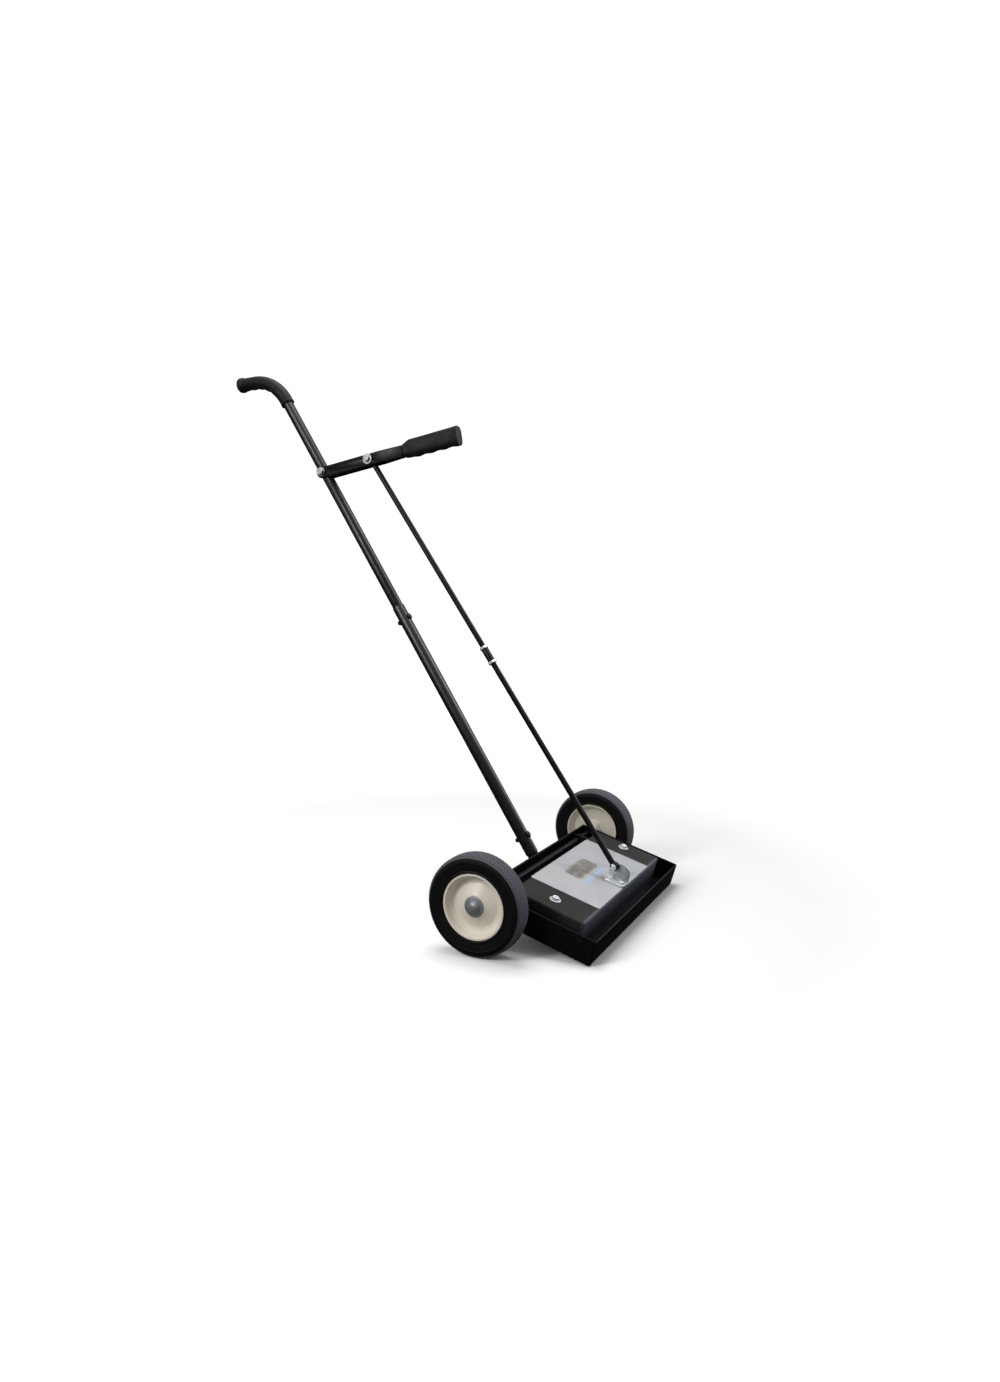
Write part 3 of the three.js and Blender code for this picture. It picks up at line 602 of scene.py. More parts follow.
def settle(piece, node, place, sharp=32, finish=None):
    """Puts a piece in place, gives it its finish and lets it stand for a CAD node."""
    piece.data.transform(place)
    piece.name = piece.data.name = node + "_look"
    if not piece.data.materials:
        piece.data.materials.append(finish or finishes[slots[node]])
    piece.data.polygons.foreach_set("use_smooth", [True] * len(piece.data.polygons))
    piece.data.set_sharp_from_angle(angle=math.radians(sharp))
    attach(piece, frame["nodes"][node]["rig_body"])
    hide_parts(node)
    return piece


# ---- fasteners

# Each bolt: across its flats, shank radius, head height and thread pitch.
M10 = (16 * MM, 4.75 * MM, 6.4 * MM, 1.5 * MM)
M8 = (13 * MM, 4 * MM, 5.3 * MM, 1.25 * MM)
M6 = (10 * MM, 3 * MM, 4 * MM, 1 * MM)

# Radii of the holes that they and the axle pass through.
AXLE_HOLE = 6.65 * MM
PIVOT_HOLE = 5.1 * MM
M8_HOLE = 4.35 * MM
CLOSE_M8_HOLE = 4.3 * MM
M6_HOLE = 3.3 * MM


def hexagon(flats, limit):
    """Radius of a hexagon by angle, no larger than the circle limit."""
    sixth = TURN / 6

    def radius(angle):
        corner = flats / 2 / math.cos((angle % sixth) - sixth / 2)
        return min(corner, limit)

    return radius


def hexagon_rings(flats, bottom, top):
    """Rings of a hexagon whose corners are turned off by a cone at its ends."""
    inner = flats / 2 * 0.96
    steps = [1.0, 1.05, 1.1, 1.156]
    slope = 0.55
    rise = [(flats / 2 * s, (flats / 2 * s - inner) * slope) for s in steps]
    rings = [ring_points(bottom, inner)]
    rings += [ring_points(bottom + drop, hexagon(flats, r)) for r, drop in rise]
    rings += [ring_points(top - drop, hexagon(flats, r)) for r, drop in reversed(rise)]
    rings.append(ring_points(top, inner))
    return rings


def thread_rings(radius, start, end, pitch):
    """Rings of a grooved shank from start to end, with a chamfered tip."""
    root = radius - 0.3 * pitch
    shank = []
    x = start
    while x + pitch < end - pitch:
        shank += [(x, radius), (x + 0.3 * pitch, radius), (x + 0.65 * pitch, root)]
        x += pitch
    shank += [(x, radius), (end - pitch, radius), (end, radius - 0.8 * pitch)]
    return [ring_points(x, r) for x, r in shank]


def hex_bolt(head, flats, shank, length, plain, pitch):
    """A hexagon bolt along +X, with the underside of its head at x = 0."""
    crown = ((-head, 0.55), (-head + 0.25 * MM, 0.6), (-head, 0.66))
    rings = [ring_points(x, flats / 2 * share) for x, share in crown]
    rings += hexagon_rings(flats, -head, -0.4 * MM)
    rings += [ring_points(0, flats / 2 * 0.93), ring_points(0, shank)]
    rings += thread_rings(shank, plain, length, pitch)
    return loft(rings)


def hex_nut(flats, hole, thickness):
    """A nut along +X from x = 0, with chamfers at both ends."""
    mouth, depth = hole + 0.8 * MM, 0.7 * MM
    bore = ((thickness, mouth), (thickness - depth, hole), (depth, hole), (0, mouth))
    rings = hexagon_rings(flats, 0, thickness) + [ring_points(x, r) for x, r in bore]
    return loft(rings, loop=True)


def flat_washer(outer, hole, thickness, edge=0.25 * MM):
    """A stamped washer along +X from x = 0, rounded on one side and sharp on the other."""
    profile = [
        (hole, 0.1 * MM),
        (hole + 0.1 * MM, 0),
        (outer - 0.1 * MM, 0),
        (outer, 0.1 * MM),
        (outer, thickness - edge),
        (outer - 0.3 * edge, thickness - 0.3 * edge),
        (outer - edge, thickness),
        (hole + edge, thickness),
        (hole, thickness - edge),
    ]
    return lathe(profile)


def settle_ring(node, place, hole, edge=0.25 * MM, finish=None):
    """A washer, bush or sleeve for a CAD node that lies round the place's X axis."""
    low, high = span(node, place)
    ring = flat_washer(high.z, hole, high.x - low.x, edge)
    settle(ring, node, place @ moved(low.x, 0, 0), finish=finish)


def centre_line(node, place):
    """A node's lowest and highest corner and its middle, in a local frame."""
    low, high = span(node, place)
    return low, high, (low + high) / 2


def cross_fasteners(prefix, flats, shank, head, thread):
    """A bolt along X with its washers and nut, in the lever's frame."""
    low, high, centre = centre_line(prefix + "_bolt", lever)
    at = lambda x: moved(x, centre.y, centre.z)
    nut_low, nut_high = span(prefix + "_nut", lever)
    length = high.x - low.x - head
    bolt = hex_bolt(head, flats, shank, length, nut_low.x - low.x - head - 6 * MM, thread)
    settle(bolt, prefix + "_bolt", lever @ at(low.x + head), finish=plate_finish)
    nut = hex_nut(flats, shank + 0.1 * MM, nut_high.x - nut_low.x)
    settle(nut, prefix + "_nut", lever @ at(nut_low.x))
    for name in ("_head_washer", "_nut_washer"):
        settle_ring(prefix + name, lever @ at(0), shank + 0.2 * MM, finish=plate_finish)


# ---- tray and axle


def tray_ring(box, inset, z, corner):
    """A rounded rectangle, drawn in from the tray's or the cover's outline by inset."""
    low, high = box
    radius = max(corner - inset, 0.3 * MM)
    x0, x1 = low.x + inset + radius, high.x - inset - radius
    y0, y1 = low.y + inset + radius, high.y - inset - radius
    points = []
    for cx, cy, start in ((x1, y0, -90), (x1, y1, 0), (x0, y1, 90), (x0, y0, 180)):
        points += arc((cx, cy), radius, start, start + 90)
    return [Vector((x, y, z)) for x, y in points]


def make_tray():
    box = span("tray_shell", tray)
    bottom, top = box[0].z, box[1].z
    sheet = 2 * MM
    bend = 4 * MM
    corner = 5 * MM
    hem = 4.5 * MM
    hem_height = 7 * MM
    section = arc((bend, bottom + bend), -bend, 90, 0)
    section += arc((hem / 2, top - hem / 2), hem / 2, 180, 0, 10)
    section += [(hem, top - hem_height + 0.8 * MM), (hem - 0.5 * MM, top - hem_height)]
    section += [(sheet + 0.2 * MM, top - hem_height), (sheet, top - hem_height - 0.4 * MM)]
    section += arc((bend, bottom + bend), sheet - bend, 0, 90)
    shell = loft([tray_ring(box, u, z, corner) for u, z in section])
    drilled(shell, Matrix(), AXLE_HOLE, (0, 0, 0), box[1].x + 0.01)
    settle(shell, "tray_shell", tray, finish=tray_finish)


def make_axle():
    low, high = span("axle", tray)
    radius = high.z
    settle(lathe(bar_profile(radius, low.x, high.x, 0.8 * MM)), "axle", tray)
    for side, turn in WHEEL_SIDES:
        place = tray @ turn
        hole = radius + 0.3 * MM
        settle_ring(side + "_axle_spacer", place, hole, 0.7 * MM)
        settle_ring(side + "_axle_washer", place, hole, 0.5 * MM, plate_finish)
        low, high = span(side + "_axle_cap", place)
        outer, length = high.z, high.x - low.x
        quarter = arc((0, 0), 1, 8, 90, 10)
        dome = [(outer * 0.78 * u, length * (0.45 + 0.55 * v)) for u, v in quarter]
        cap = lathe([
            (hole, 0),
            (outer - 0.6 * MM, 0),
            (outer, 0.3 * MM),
            (outer, 1.2 * MM),
            (outer - 0.5 * MM, 1.7 * MM),
            (outer * 0.84, 2 * MM),
            (outer * 0.79, 2.6 * MM),
            *dome,
            (0.001 * MM, length * 0.7),
            (hole, length * 0.5),
        ])
        settle(cap, side + "_axle_cap", place @ moved(low.x, 0, 0), finish=plate_finish)


# ---- wheels


def make_tyre(side, place):
    low, high = span(side + "_tyre", place)
    outer, half = high.z, (high.x - low.x) / 2
    rim = 66.3 * MM
    shoulder = 9 * MM
    knobs = 76
    offsets = (0.0, 0.1, 0.4, 0.5, 0.6, 0.9)  # shares of a knob, with a groove at 0 or 0.5
    depth = 1.3 * MM
    rows = 7
    worn_and_lit = 6.5 * MM  # how far in from the tread its finish reaches
    tread_half = half - shoulder + 3 * MM
    angles = [TURN * (knob + share) / knobs for knob in range(knobs) for share in offsets]

    def ring(x, size, row=None):
        """A tread row's cross grooves are staggered by half a knob from the next row's."""
        groove = None if row is None else 0 if row % 2 else len(offsets) // 2
        radii = [size - depth * (i % len(offsets) == groove) for i in range(len(angles))]
        return [Vector((x, r * math.cos(a), r * math.sin(a))) for r, a in zip(radii, angles)]

    def crown(x):
        """The tread's radius at x: nearly flat, falling a little to its edges."""
        return outer - 1.6 * MM * abs(x / tread_half) ** 3

    # Out from the rim and in from the tyre's face, in mm; then in from the tread and the face.
    inner = (
        (0, 3), (0.8, 1), (2.5, 0.2), (4.2, 0.8), (5.5, 1.6), (9, 0.9), (16, 0.2),
        (20, 0.4), (20.6, 0), (21.6, 0), (22.2, 0.7),
    )
    outside = ((9.5, 1.2), (6, 2.8), (3.8, 4.8))
    wall = [(rim + r * MM, half - x * MM) for r, x in inner]
    wall += [(outer - r * MM, half - x * MM) for r, x in outside]
    rings = [ring(-x, r) for r, x in wall]
    pitch = 2 * tread_half / rows
    edge = 0.11 * pitch
    for row in range(rows):
        left = -tread_half + row * pitch
        rings.append(ring(left, crown(left) - depth))
        for x in (left + edge, left + 0.5 * pitch, left + pitch - edge):
            rings.append(ring(x, crown(x), row))
    rings.append(ring(tread_half, crown(tread_half) - depth))
    rings += [ring(x, r) for r, x in reversed(wall)]
    tyre = loft(rings, loop=True)
    tyre.data.materials.append(finishes["tyre_rubber"])
    tyre.data.materials.append(tread_finish)
    for face in tyre.data.polygons:
        reach = math.hypot(face.center.y, face.center.z)
        face.material_index = int(reach > outer - worn_and_lit)
    settle(tyre, side + "_tyre", place, sharp=40)


def make_hub(side, place):
    """A dished hub. Its outline is given as radius, distance along the axle and fillet, in mm."""
    corners = [
        (9.8, 14.0, 0.5),
        (22.5, 14.0, 1.2),
        (26.5, 11.4, 3),
        (44.5, 2.6, 4),
        (52.0, 2.8, 3),
        (57.2, 8.5, 2),
        (60.3, 17.6, 1.5),
        (61.2, 20.5, 0.8),
        (65.2, 20.5, 0.8),
        (66.0, 19.0, 0.4),
        (66.0, -19.0, 0.4),
        (65.2, -20.5, 0.6),
        (62.5, -20.5, 0.6),
        (59.0, -14.0, 2),
        (52.0, -1.5, 2),
        (24.0, -1.5, 2),
        (18.5, -4.0, 1.5),
        (15.5, -24.5, 0.8),
        (9.8, -24.5, 0.5),
    ]
    outline = filleted([(r * MM, x * MM, f * MM) for r, x, f in corners], steps=5)
    hub = lathe(outline, 96)
    settle(hub, side + "_wheel_hub", place, sharp=35)


def make_wheels():
    for side, turn in WHEEL_SIDES:
        centre = Vector(joint(side + "_wheel_spin")["pos_m"])
        place = Matrix.Translation(centre) @ turn
        make_tyre(side, place)
        make_hub(side, place)
        settle_ring(side + "_wheel_bush", place, AXLE_HOLE, 0.6 * MM)


# ---- magnet carriage


def make_cover():
    box = span("magnet_cover", tray)
    bottom, top = box[0].z, box[1].z
    sheet = 2 * MM
    bend = 7 * MM
    corner = 7 * MM
    section = arc((bend, top - bend), bend, 90, 180, 8)
    section += [(0, bottom + 0.3 * MM), (0.3 * MM, bottom)]
    section += [(sheet - 0.3 * MM, bottom), (sheet, bottom + 0.3 * MM)]
    section += arc((bend, top - bend), bend - sheet, 180, 90)
    cover = loft([tray_ring(box, u, z, corner) for u, z in section])
    holes = {
        "left_magnet_bolt": CLOSE_M8_HOLE,
        "right_magnet_bolt": CLOSE_M8_HOLE,
        "front_bracket_bolt": M6_HOLE,
        "rear_bracket_bolt": M6_HOLE,
    }
    for bolt, radius in holes.items():
        centre = centre_line(bolt, tray)[2]
        drilled(cover, UP, radius, (centre.x, centre.y, top), 5 * MM)
    settle(cover, "magnet_cover", tray, finish=cover_finish)


def make_magnets():
    count = sum(name.startswith("magnet_") and name[7:].isdigit() for name in frame["nodes"])
    for i in range(count):
        node = f"magnet_{i + 1}"
        settle(copied(node, tray, 1.2 * MM, 3), node, tray)
    for node in ("backing_plate", "left_hinge_arm", "right_hinge_arm"):
        settle(copied(node, tray, 0.5 * MM), node, tray)
    for side in ("left", "right"):
        centre = centre_line(side + "_magnet_spacer", tray)[2]
        upright = tray @ moved(centre.x, centre.y, 0) @ UP
        settle_ring(side + "_magnet_spacer", upright, M8_HOLE, 0.5 * MM)
        settle_ring(side + "_magnet_washer", upright, M8_HOLE)
        top_bolt(side + "_magnet_bolt", *M8)


def top_bolt(node, flats, shank, head, pitch):
    """A bolt with its head on top, in the tray's frame."""
    low, high, centre = centre_line(node, tray)
    length = high.z - low.z - head
    bolt = hex_bolt(head, flats, shank, length, 8 * MM, pitch)
    place = tray @ moved(centre.x, centre.y, high.z - head) @ DOWN
    settle(bolt, node, place)


def make_label():
    box = span("label_plate", tray)
    section = [
        (0, box[0].z),
        (0, box[1].z - 0.25 * MM),
        (0.08 * MM, box[1].z - 0.08 * MM),
        (0.25 * MM, box[1].z),
    ]
    plate = loft([tray_ring(box, u, z, 4 * MM) for u, z in section])
    settle(plate, "label_plate", tray, sharp=60)


def make_bracket():
    """A pressed angle: a foot with two bolts and an ear for the lift pin."""
    low, high = span("lift_bracket", tray)
    sheet = 4 * MM
    ear = high.x - sheet
    pin = centre_line("lift_pin", tray)[2]
    crook = 2 * MM
    outline = filleted([
        (low.x, low.z, 0.5 * MM),
        (high.x, low.z, crook + sheet),
        (high.x, high.z, 0.5 * MM),
        (ear, high.z, 0.5 * MM),
        (ear, low.z + sheet, crook),
        (low.x, low.z + sheet, 0.5 * MM),
    ], steps=5)
    plate = extruded(outline, low.y, high.y, 1)
    corner = 9 * MM
    side = filleted([
        (low.y, low.z - 1 * MM, 0),
        (high.y, low.z - 1 * MM, 0),
        (high.y, high.z, corner),
        (low.y, high.z, 2.2 * corner),
    ], steps=8)
    foot = filleted([
        (low.x, low.y, 5 * MM),
        (high.x + 1 * MM, low.y, 0),
        (high.x + 1 * MM, high.y, 0),
        (low.x, high.y, 5 * MM),
    ], steps=6)
    side_form = extruded(side, low.x - 1 * MM, high.x + 1 * MM)
    combined(plate, side_form, "INTERSECT")
    foot_form = extruded(foot, low.z - 1 * MM, high.z + 1 * MM, 2)
    combined(plate, foot_form, "INTERSECT")
    drilled(plate, Matrix(), CLOSE_M8_HOLE, (high.x, pin.y, pin.z), 8 * MM)
    for node in ("front_bracket_bolt", "rear_bracket_bolt"):
        centre = centre_line(node, tray)[2]
        drilled(plate, UP, M6_HOLE, (centre.x, centre.y, low.z + sheet / 2), 4 * MM)
        top_bolt(node, *M6)
    bevelled(plate, 0.35 * MM, 2, 50)
    # Painted light and shade: the foot takes the bright zinc and the ear the duller zinc, standing
    # in for a lit foot and a shaded ear of one pressed plate.
    plate.data.materials.append(plate_finish)
    plate.data.materials.append(finishes["zinc_plate"])
    for face in plate.data.polygons:
        face.material_index = int(face.center.z < low.z + sheet + 0.5 * MM)
    settle(plate, "lift_bracket", tray)


def make_lift_pin():
    low, high, centre = centre_line("lift_pin", tray)
    radius = 4 * MM
    head, thick = 7 * MM, 2.5 * MM
    length = high.x - low.x
    profile = [
        (0, 0),
        (head - 0.6 * MM, 0),
        (head, 0.6 * MM),
        (head, thick - 0.4 * MM),
        (head - 0.4 * MM, thick),
        (radius, thick),
        (radius, length - 1 * MM),
        (radius - 0.9 * MM, length),
        (0, length),
    ]
    at = tray @ moved(high.x, centre.y, centre.z) @ HALF_TURN
    settle(lathe(profile), "lift_pin", at)
    low, high = span("lift_pin_clip", tray)
    clip = flat_washer(7 * MM, 4.1 * MM, high.x - low.x)
    gap = extruded([(0, -2 * MM), (9 * MM, -2.6 * MM), (9 * MM, 2.6 * MM), (0, 2 * MM)],
                   -1 * MM, high.x - low.x + 1 * MM)
    combined(clip, gap, "DIFFERENCE")
    at = tray @ moved(low.x, centre.y, centre.z)
    settle(clip, "lift_pin_clip", at)


# ---- handle

BEND_START = 214 * MM  # above the lever's pivot
BEND_RADIUS = 110 * MM
BEND_ANGLE = math.radians(59)
END_STRAIGHT = 44 * MM
PIPE_SIDES = 56


def handle_path(start, even_from, end_straight, step=6 * MM):
    """Stations up the handle, evenly spaced beyond even_from: along, centre and bend angle."""
    bend_length = BEND_RADIUS * BEND_ANGLE
    total = BEND_START + bend_length + end_straight
    count = max(2, round((total - even_from) / step))
    places = [start] if start < even_from else []
    places += [even_from + (total - even_from) * i / count for i in range(count + 1)]
    stations = []
    for along in places:
        turn = min(max(along - BEND_START, 0), bend_length) / BEND_RADIUS
        beyond = max(along - BEND_START - bend_length, 0)
        y = BEND_RADIUS * (1 - math.cos(turn)) + beyond * math.sin(turn)
        z = min(along, BEND_START) + BEND_RADIUS * math.sin(turn) + beyond * math.cos(turn)
        stations.append((along, Vector((0, y, z)), turn))
    return stations


def path_ring(centre, turn, radius):
    """A ring across the handle's path. radius is a number or a function of the angle."""
    outward = Vector((0, math.cos(turn), -math.sin(turn)))  # towards the bend's inner side
    size = radius if callable(radius) else lambda angle: radius
    angles = [TURN * i / PIPE_SIDES for i in range(PIPE_SIDES)]
    return [centre + size(a) * (ACROSS * math.sin(a) + outward * math.cos(a)) for a in angles]


def make_tubes():
    socket = copied("handle_socket", handle, 0.4 * MM)
    settle(socket, "handle_socket", handle, finish=tray_finish)

    low, high = span("lower_tube", handle)
    outer = high.x
    wall = 1.2 * MM
    edge = 0.35 * MM
    profile = filleted([
        (outer, low.z, edge),
        (outer, high.z, edge),
        (outer - wall, high.z, edge),
        (outer - wall, low.z, edge),
    ], steps=3)
    pipe = lathe(profile, 72)
    pipe.data.transform(UP)
    for bolt in ("socket_bolt", "joint_bolt"):
        centre = centre_line(bolt, handle)[2]
        drilled(pipe, TO_REAR, M6_HOLE, (0, 0, centre.z), 20 * MM, 24)
    settle(pipe, "lower_tube", handle, sharp=50, finish=tube_finish)

    low, high = span("upper_tube", handle)
    outer = high.x
    wall = 1.5 * MM
    stations = handle_path(low.z, BEND_START, END_STRAIGHT)
    outside = [path_ring(c, t, outer) for along, c, t in stations]
    inside = [path_ring(c, t, outer - wall) for along, c, t in reversed(stations)]
    tube = loft(outside + inside, loop=True)
    centre = centre_line("joint_bolt", handle)[2]
    drilled(tube, TO_REAR, M6_HOLE, (0, 0, centre.z), 20 * MM, 24)
    drilled(tube, Matrix(), PIVOT_HOLE, (0, 0, 0), 20 * MM, 24)
    bevelled(tube, 0.3 * MM, 2, 60)
    settle(tube, "upper_tube", handle, sharp=50, finish=tube_finish)


def make_handle_grip():
    """A dipped grip over the bend: a lip at its mouth, a soft wave below, a thick end."""
    mouth = span("handle_grip", handle)[0].z
    body = 16.2 * MM
    room = 13.2 * MM
    end = END_STRAIGHT + 1.5 * MM
    stations = handle_path(mouth, mouth, end, 2.5 * MM)
    length = stations[-1][0] - mouth
    wave_start, wave_end = 52 * MM, length - 14 * MM
    fingers = 4

    def size(along):
        lip = 0.6 * MM * math.exp(-(((along - 3 * MM) / (3 * MM)) ** 4))
        ring = 2.2 * MM * math.exp(-(((length - along - 4 * MM) / (6 * MM)) ** 4))
        share = (along - wave_start) / (wave_end - wave_start)
        wave = 1.5 * MM * (0.5 - 0.5 * math.cos(TURN * fingers * share)) if 0 < share < 1 else 0

        def radius(angle):
            below = max(math.cos(angle), 0) ** 2
            return body + lip + ring - wave * below

        return radius

    last, turn = stations[-1][1:]
    rings = [path_ring(last, turn, POINT)]
    rings += [path_ring(c, t, room) for along, c, t in reversed(stations)]
    rings.append(path_ring(stations[0][1], stations[0][2], room + 0.6 * MM))
    rings += [path_ring(c, t, size(along - mouth)) for along, c, t in stations[1:]]
    onward = Vector((0, math.sin(turn), math.cos(turn)))
    rim = size(length)(math.pi)
    for u, v in arc((0, 0), 1, 0, 90, 8)[1:]:
        reach = rim * (0.82 + 0.18 * u) if u > 0.01 else POINT
        rings.append(path_ring(last + onward * 3 * MM * v, turn, reach))
    settle(loft(rings), "handle_grip", handle, sharp=55)


def make_carriage_bolts():
    for name in ("socket", "joint"):
        low, high, centre = centre_line(name + "_bolt", handle)
        nut_low, nut_high = span(name + "_nut", handle)
        seat = -nut_low.y
        head = seat - low.y
        dome = [(8 * MM * u, -head * v) for u, v in arc((0, 0), 1, 90, 12, 8)]
        rings = [ring_points(x, max(r, POINT)) for r, x in dome]
        rings += [ring_points(-0.4 * MM, 8 * MM), ring_points(0, 7.7 * MM)]
        rings.append(ring_points(0, 3 * MM))
        rings += thread_rings(3 * MM, 14 * MM, high.y - seat, 1 * MM)
        at = handle @ moved(0, seat, centre.z) @ TO_REAR
        settle(loft(rings), name + "_bolt", at)
        nut = hex_nut(10 * MM, 3.1 * MM, nut_high.y - nut_low.y)
        at = handle @ moved(0, nut_low.y, centre.z) @ TO_REAR
        settle(nut, name + "_nut", at)


# ---- release lever


def make_lever_arm():
    """A pressed channel that straddles the tube, narrows and carries a tang for the grip."""
    low, high = span("lever_arm", lever)
    outer = high.x
    sheet = 2 * MM
    taper_start, taper_end, tang_end = 170 * MM, 228 * MM, -low.y
    neck = 9 * MM
    depth = high.z - low.z
    nose = high.y
    corner = 2.6 * MM
    fork = 14.5 * MM

    def section(y, half, drop, skin, top_corner):
        top, bottom = high.z - skin, low.z - drop
        outline = [(-half, bottom), (half, bottom)]
        outline += arc((half - top_corner, top - top_corner), top_corner, 0, 90, 5)
        outline += arc((top_corner - half, top - top_corner), top_corner, 90, 180, 5)
        return [Vector((x, y, z)) for x, z in outline]

    stations = [(nose + 1 * MM, outer), (-taper_start, outer), (-taper_end, neck)]
    arm = loft([section(y, half, 0, 0, corner) for y, half in stations])
    stations = [(nose + 2 * MM, outer), (-taper_start, outer), (-taper_end + sheet, neck)]
    room = loft([section(y, h - sheet, 2 * MM, sheet, corner - 1 * MM) for y, h in stations])
    combined(arm, room, "DIFFERENCE")
    front = [(-taper_end - 1 * MM, low.z - 1 * MM), (-taper_end - 1 * MM, high.z + 1 * MM)]
    side = front + arc((0, (low.z + high.z) / 2), depth / 2, 90, -90, 24)
    side[2] = (0, high.z + 1e-5)
    side[-1] = (0, low.z - 1e-5)
    combined(arm, extruded(side, -outer - 1 * MM, outer + 1 * MM), "INTERSECT")
    inner = outer - sheet
    gap = [(-fork, low.z - 1 * MM), (nose + 2 * MM, low.z - 1 * MM)]
    gap += [(nose + 2 * MM, high.z + 1 * MM), (-fork, high.z + 1 * MM)]
    combined(arm, extruded(gap, -inner, inner), "DIFFERENCE")
    half, tall, centre = 7 * MM, 9 * MM, (low.z + high.z) / 2
    bar = filleted([
        (-half, centre - tall, 1.5 * MM),
        (half, centre - tall, 1.5 * MM),
        (half, centre + tall, 1.5 * MM),
        (-half, centre + tall, 1.5 * MM),
    ], steps=4)
    combined(arm, extruded(bar, -taper_end + 1 * MM, -tang_end, 1), "UNION")
    pin = centre_line("rod_pin_bolt", lever)[2]
    drilled(arm, Matrix(), PIVOT_HOLE, (0, 0, 0), 30 * MM)
    drilled(arm, Matrix(), M8_HOLE, (0, pin.y, 0), 30 * MM)
    settle(bevelled(arm, 0.35 * MM, 2, 50), "lever_arm", lever, sharp=38)


def make_lever_grip():
    """A deep moulded grip: plain on top, with finger waves below and a flat end."""
    low, high = span("lever_grip", lever)
    start, end = high.y, low.y
    length = start - end
    top, bottom = high.z, low.z + 1.5 * MM
    step = 7 * MM  # how far the shoulder climbs above and below the arm
    half = high.x
    fingers = 4
    stations = 72
    sides = 56
    power = 3

    def rounded(value):
        return math.copysign(abs(value) ** (2 / power), value)

    def ring(share, shrink=1.0, y=None):
        climb = min(share / 0.13, 1)
        climb = climb * climb * (3 - 2 * climb)
        roof = top - step * (1 - climb)
        floor = bottom + 0.6 * step * (1 - climb) - 1.5 * MM * share
        wave = 2.2 * MM * climb * (0.5 - 0.5 * math.cos(TURN * fingers * min(share / 0.94, 1)))
        collar = 0.8 * MM * math.exp(-((share - 0.03) / 0.03) ** 2)
        flare = 0.6 * MM * math.exp(-((1 - share) / 0.05) ** 2)
        middle_z, tall = (roof + floor) / 2, (roof - floor) / 2
        waist = 0.8 * MM * math.sin(math.pi * share)
        points = []
        for i in range(sides):
            angle = TURN * i / sides
            across, upward = rounded(math.cos(angle)), rounded(math.sin(angle))
            x = (half - 1.2 * MM - waist + 0.5 * collar + flare) * across
            z = (tall + (0.5 * collar + 0.5 * flare)) * upward
            if upward < 0:
                z += wave * upward * upward
            points.append(Vector((x * shrink, start - length * share if y is None else y,
                                  middle_z + z * shrink)))
        return points

    rings = [ring(0, 0.05, start - 0.4 * MM), ring(0, 0.8, start), ring(0, 0.93, start)]
    rings += [ring(0, 0.985, start - 0.7 * MM)]
    rings += [ring(i / stations) for i in range(1, stations)]
    for u, v in arc((0, 0), 1, 0, 90, 6)[1:]:
        rings.append(ring(1, 0.86 + 0.14 * u if u > 0.01 else 0.02, end + 2.5 * MM * (1 - v)))
    settle(loft(rings), "lever_grip", lever, sharp=50)


# ---- lift rod


def rod_body(bottom, top, radius, thread_end):
    """A round bar along Z, with a thread at its end next to the coupling."""
    turns = 22
    pitch = 1.5 * MM
    chamfer = 1 * MM
    profile = [(radius, top - turns * pitch - 5 * MM)]
    for i in range(turns):
        z = top - chamfer - (turns - i) * pitch
        profile += [(radius, z), (radius, z + 0.3 * pitch), (radius - 0.6 * MM, z + 0.65 * pitch)]
    profile += [(radius, top - chamfer), (radius - chamfer, top), (0, top)]
    profile = [(0, bottom), (radius, bottom)] + profile
    if thread_end == "bottom":
        profile = [(r, bottom + top - z) for r, z in reversed(profile)]
    bar = lathe(profile, 40)
    bar.data.transform(UP)
    return bar


def with_eye(bar, z, radius, width, hole):
    eye = lathe(bar_profile(radius, -width / 2, width / 2, 0.8 * MM), 48)
    eye.data.transform(moved(0, 0, z))
    combined(bar, eye, "UNION")
    return drilled(bar, Matrix(), hole, (0, 0, z), 20 * MM)


def make_lift_rod():
    radius = 6.35 * MM
    eye = 9 * MM
    low, high = span("upper_rod", rod)
    upper = rod_body(low.z, 0, radius, "bottom")
    settle(with_eye(upper, 0, eye, 2 * radius, M8_HOLE), "upper_rod", rod, sharp=40)
    low, high = span("lower_rod", rod)
    lower = rod_body(low.z + eye, high.z, radius, "top")
    settle(with_eye(lower, low.z + eye, eye, 2 * radius, 4.8 * MM), "lower_rod", rod, sharp=40)

    low, high = span("rod_coupling", rod)
    sleeve = flat_washer(high.x, radius + 0.2 * MM, high.z - low.z, 1.2 * MM)
    settle(sleeve, "rod_coupling", rod @ moved(0, 0, low.z) @ UP)
    for node in ("upper_jam_nut", "lower_jam_nut"):
        low, high = span(node, rod)
        nut = hex_nut(19 * MM, radius + 0.1 * MM, high.z - low.z)
        settle(nut, node, rod @ moved(0, 0, low.z) @ UP)


# ---- the sweeper

make_tray()
make_axle()
make_wheels()
make_cover()
make_magnets()
make_label()
make_bracket()
make_lift_pin()
make_tubes()
make_handle_grip()
make_carriage_bolts()
make_lever_arm()
make_lever_grip()
cross_fasteners("lever_pivot", *M10)
cross_fasteners("rod_pin", *M8)
make_lift_rod()


# ---- floor and light


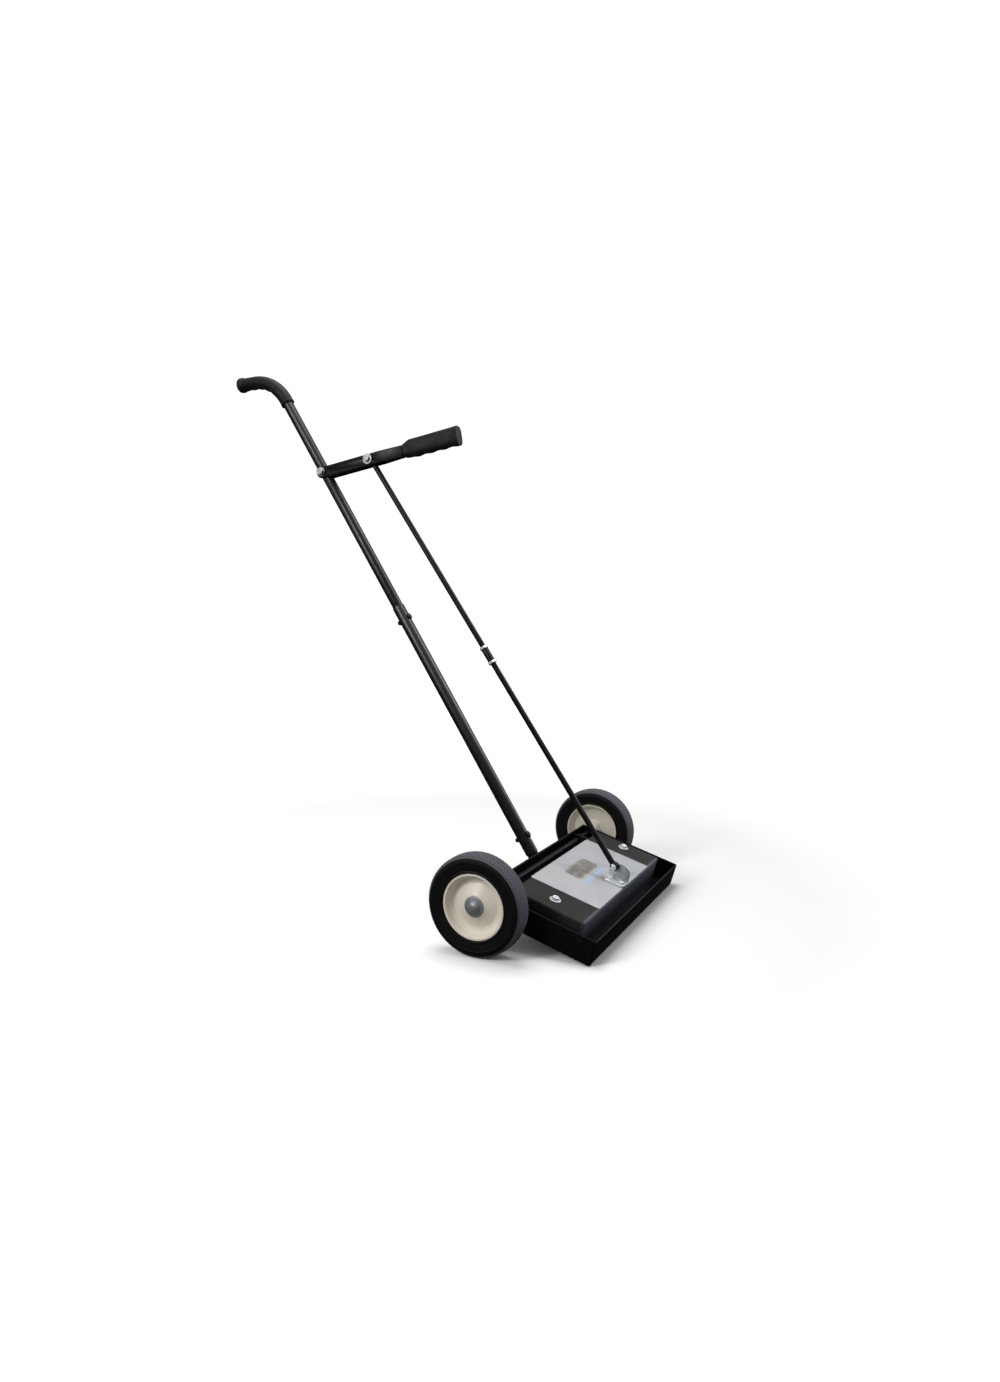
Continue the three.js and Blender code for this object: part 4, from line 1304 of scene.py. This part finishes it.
def add_floor():
    size = 14
    corners = [(-size, -size, 0), (size, -size, 0), (size, size, 0), (-size, size, 0)]
    floor = drawn(corners, [(0, 1, 2, 3)])
    floor.name = "floor"
    s = Shader("floor", Roughness=1.0, Specular_IOR_Level=0.0)
    reach = s.add("VectorMath", {0: s.where}, operation="LENGTH").outputs["Value"]
    grain = s.ramp(s.noise(0.4), -0.005, 0.005)
    shade = s.math("ADD", s.ramp(reach, 0.955, 0.985, 1.2, 4.5), grain)
    s.colour(s.mix(shade, (0, 0, 0), (1, 1, 1)))
    s.surface.inputs["Emission Color"].default_value = (1, 1, 1, 1)
    glow = s.ramp(reach, 0, 0.6, 0.9, 2.2)  # the sweep behind the object stays white
    s.feed("Emission Strength", glow)
    floor.data.materials.append(s.material)
    floor.visible_glossy = False  # the black paint reflects dark flags, not the pale floor
    floor.visible_diffuse = False
    return floor


def add_panel(name, place, target, size, power, colour):
    data = bpy.data.lights.new(name, "AREA")
    data.shape = "RECTANGLE"
    data.size, data.size_y = size
    data.energy = power
    data.color = colour
    panel = bpy.data.objects.new(name, data)
    bpy.context.scene.collection.objects.link(panel)
    aim = (Vector(place) - Vector(target)).to_track_quat("Z", "Y")
    panel.matrix_world = Matrix.Translation(place) @ aim.to_matrix().to_4x4()
    return panel


def keep_off(panel, piece):
    """Flags a panel so that its light doesn't fall on one piece."""
    flagged = bpy.data.collections.new(panel.name + "_flag")
    flagged.objects.link(piece)
    panel.light_linking.receiver_collection = flagged
    flagged.collection_objects[0].light_linking.link_state = "EXCLUDE"


def add_world():
    """An even white studio. Its lower half is flagged, and reflections fade from the top down."""
    world = bpy.data.worlds.new("studio")
    world.use_nodes = True
    studio = Nodes(world.node_tree)
    sky = studio.add("TexCoord").outputs["Generated"]
    height = studio.add("SeparateXYZ", {0: sky}).outputs["Z"]
    rays = studio.add("LightPath").outputs

    def choose(ray, otherwise, strength):
        links = {"Factor": rays[ray], "A": otherwise, "B": strength}
        return studio.add("Mix", links).outputs[0]

    soft = studio.ramp(height, 0.12, 0.5, -0.05, 0.05)
    strength = choose("Is Glossy Ray", soft, studio.ramp(height, 0.02, 0.8, 0, 1))
    background = world.node_tree.nodes["Background"]
    background.inputs["Color"].default_value = (1, 1, 1, 1)
    lit = choose("Is Camera Ray", strength, 1.06)
    world.node_tree.links.new(lit, background.inputs["Strength"])
    bpy.context.scene.world = world
    bpy.context.scene.view_settings.view_transform = "Standard"


floor = add_floor()
add_world()
add_panel("overhead", (0.1, 0.1, 3.0), (0, -0.2, 0.2), (1.6, 1.6), 40, (1, 0.975, 0.945))
add_panel("left", (-2.6, 0.9, 1.8), (-0.3, -0.3, 0.2), (0.9, 1.4), 52, (1, 0.985, 0.965))
front = add_panel("front", (1.1, -1.9, 2.7), (0, 0, 0.6), (0.8, 1.6), 62, (0.82, 0.88, 1))
right = add_panel("right", (2.4, -1.9, 1.2), (0, -0.1, 0.5), (0.8, 1.8), 30, (0.84, 0.9, 1))
keep_off(front, floor)
keep_off(right, floor)
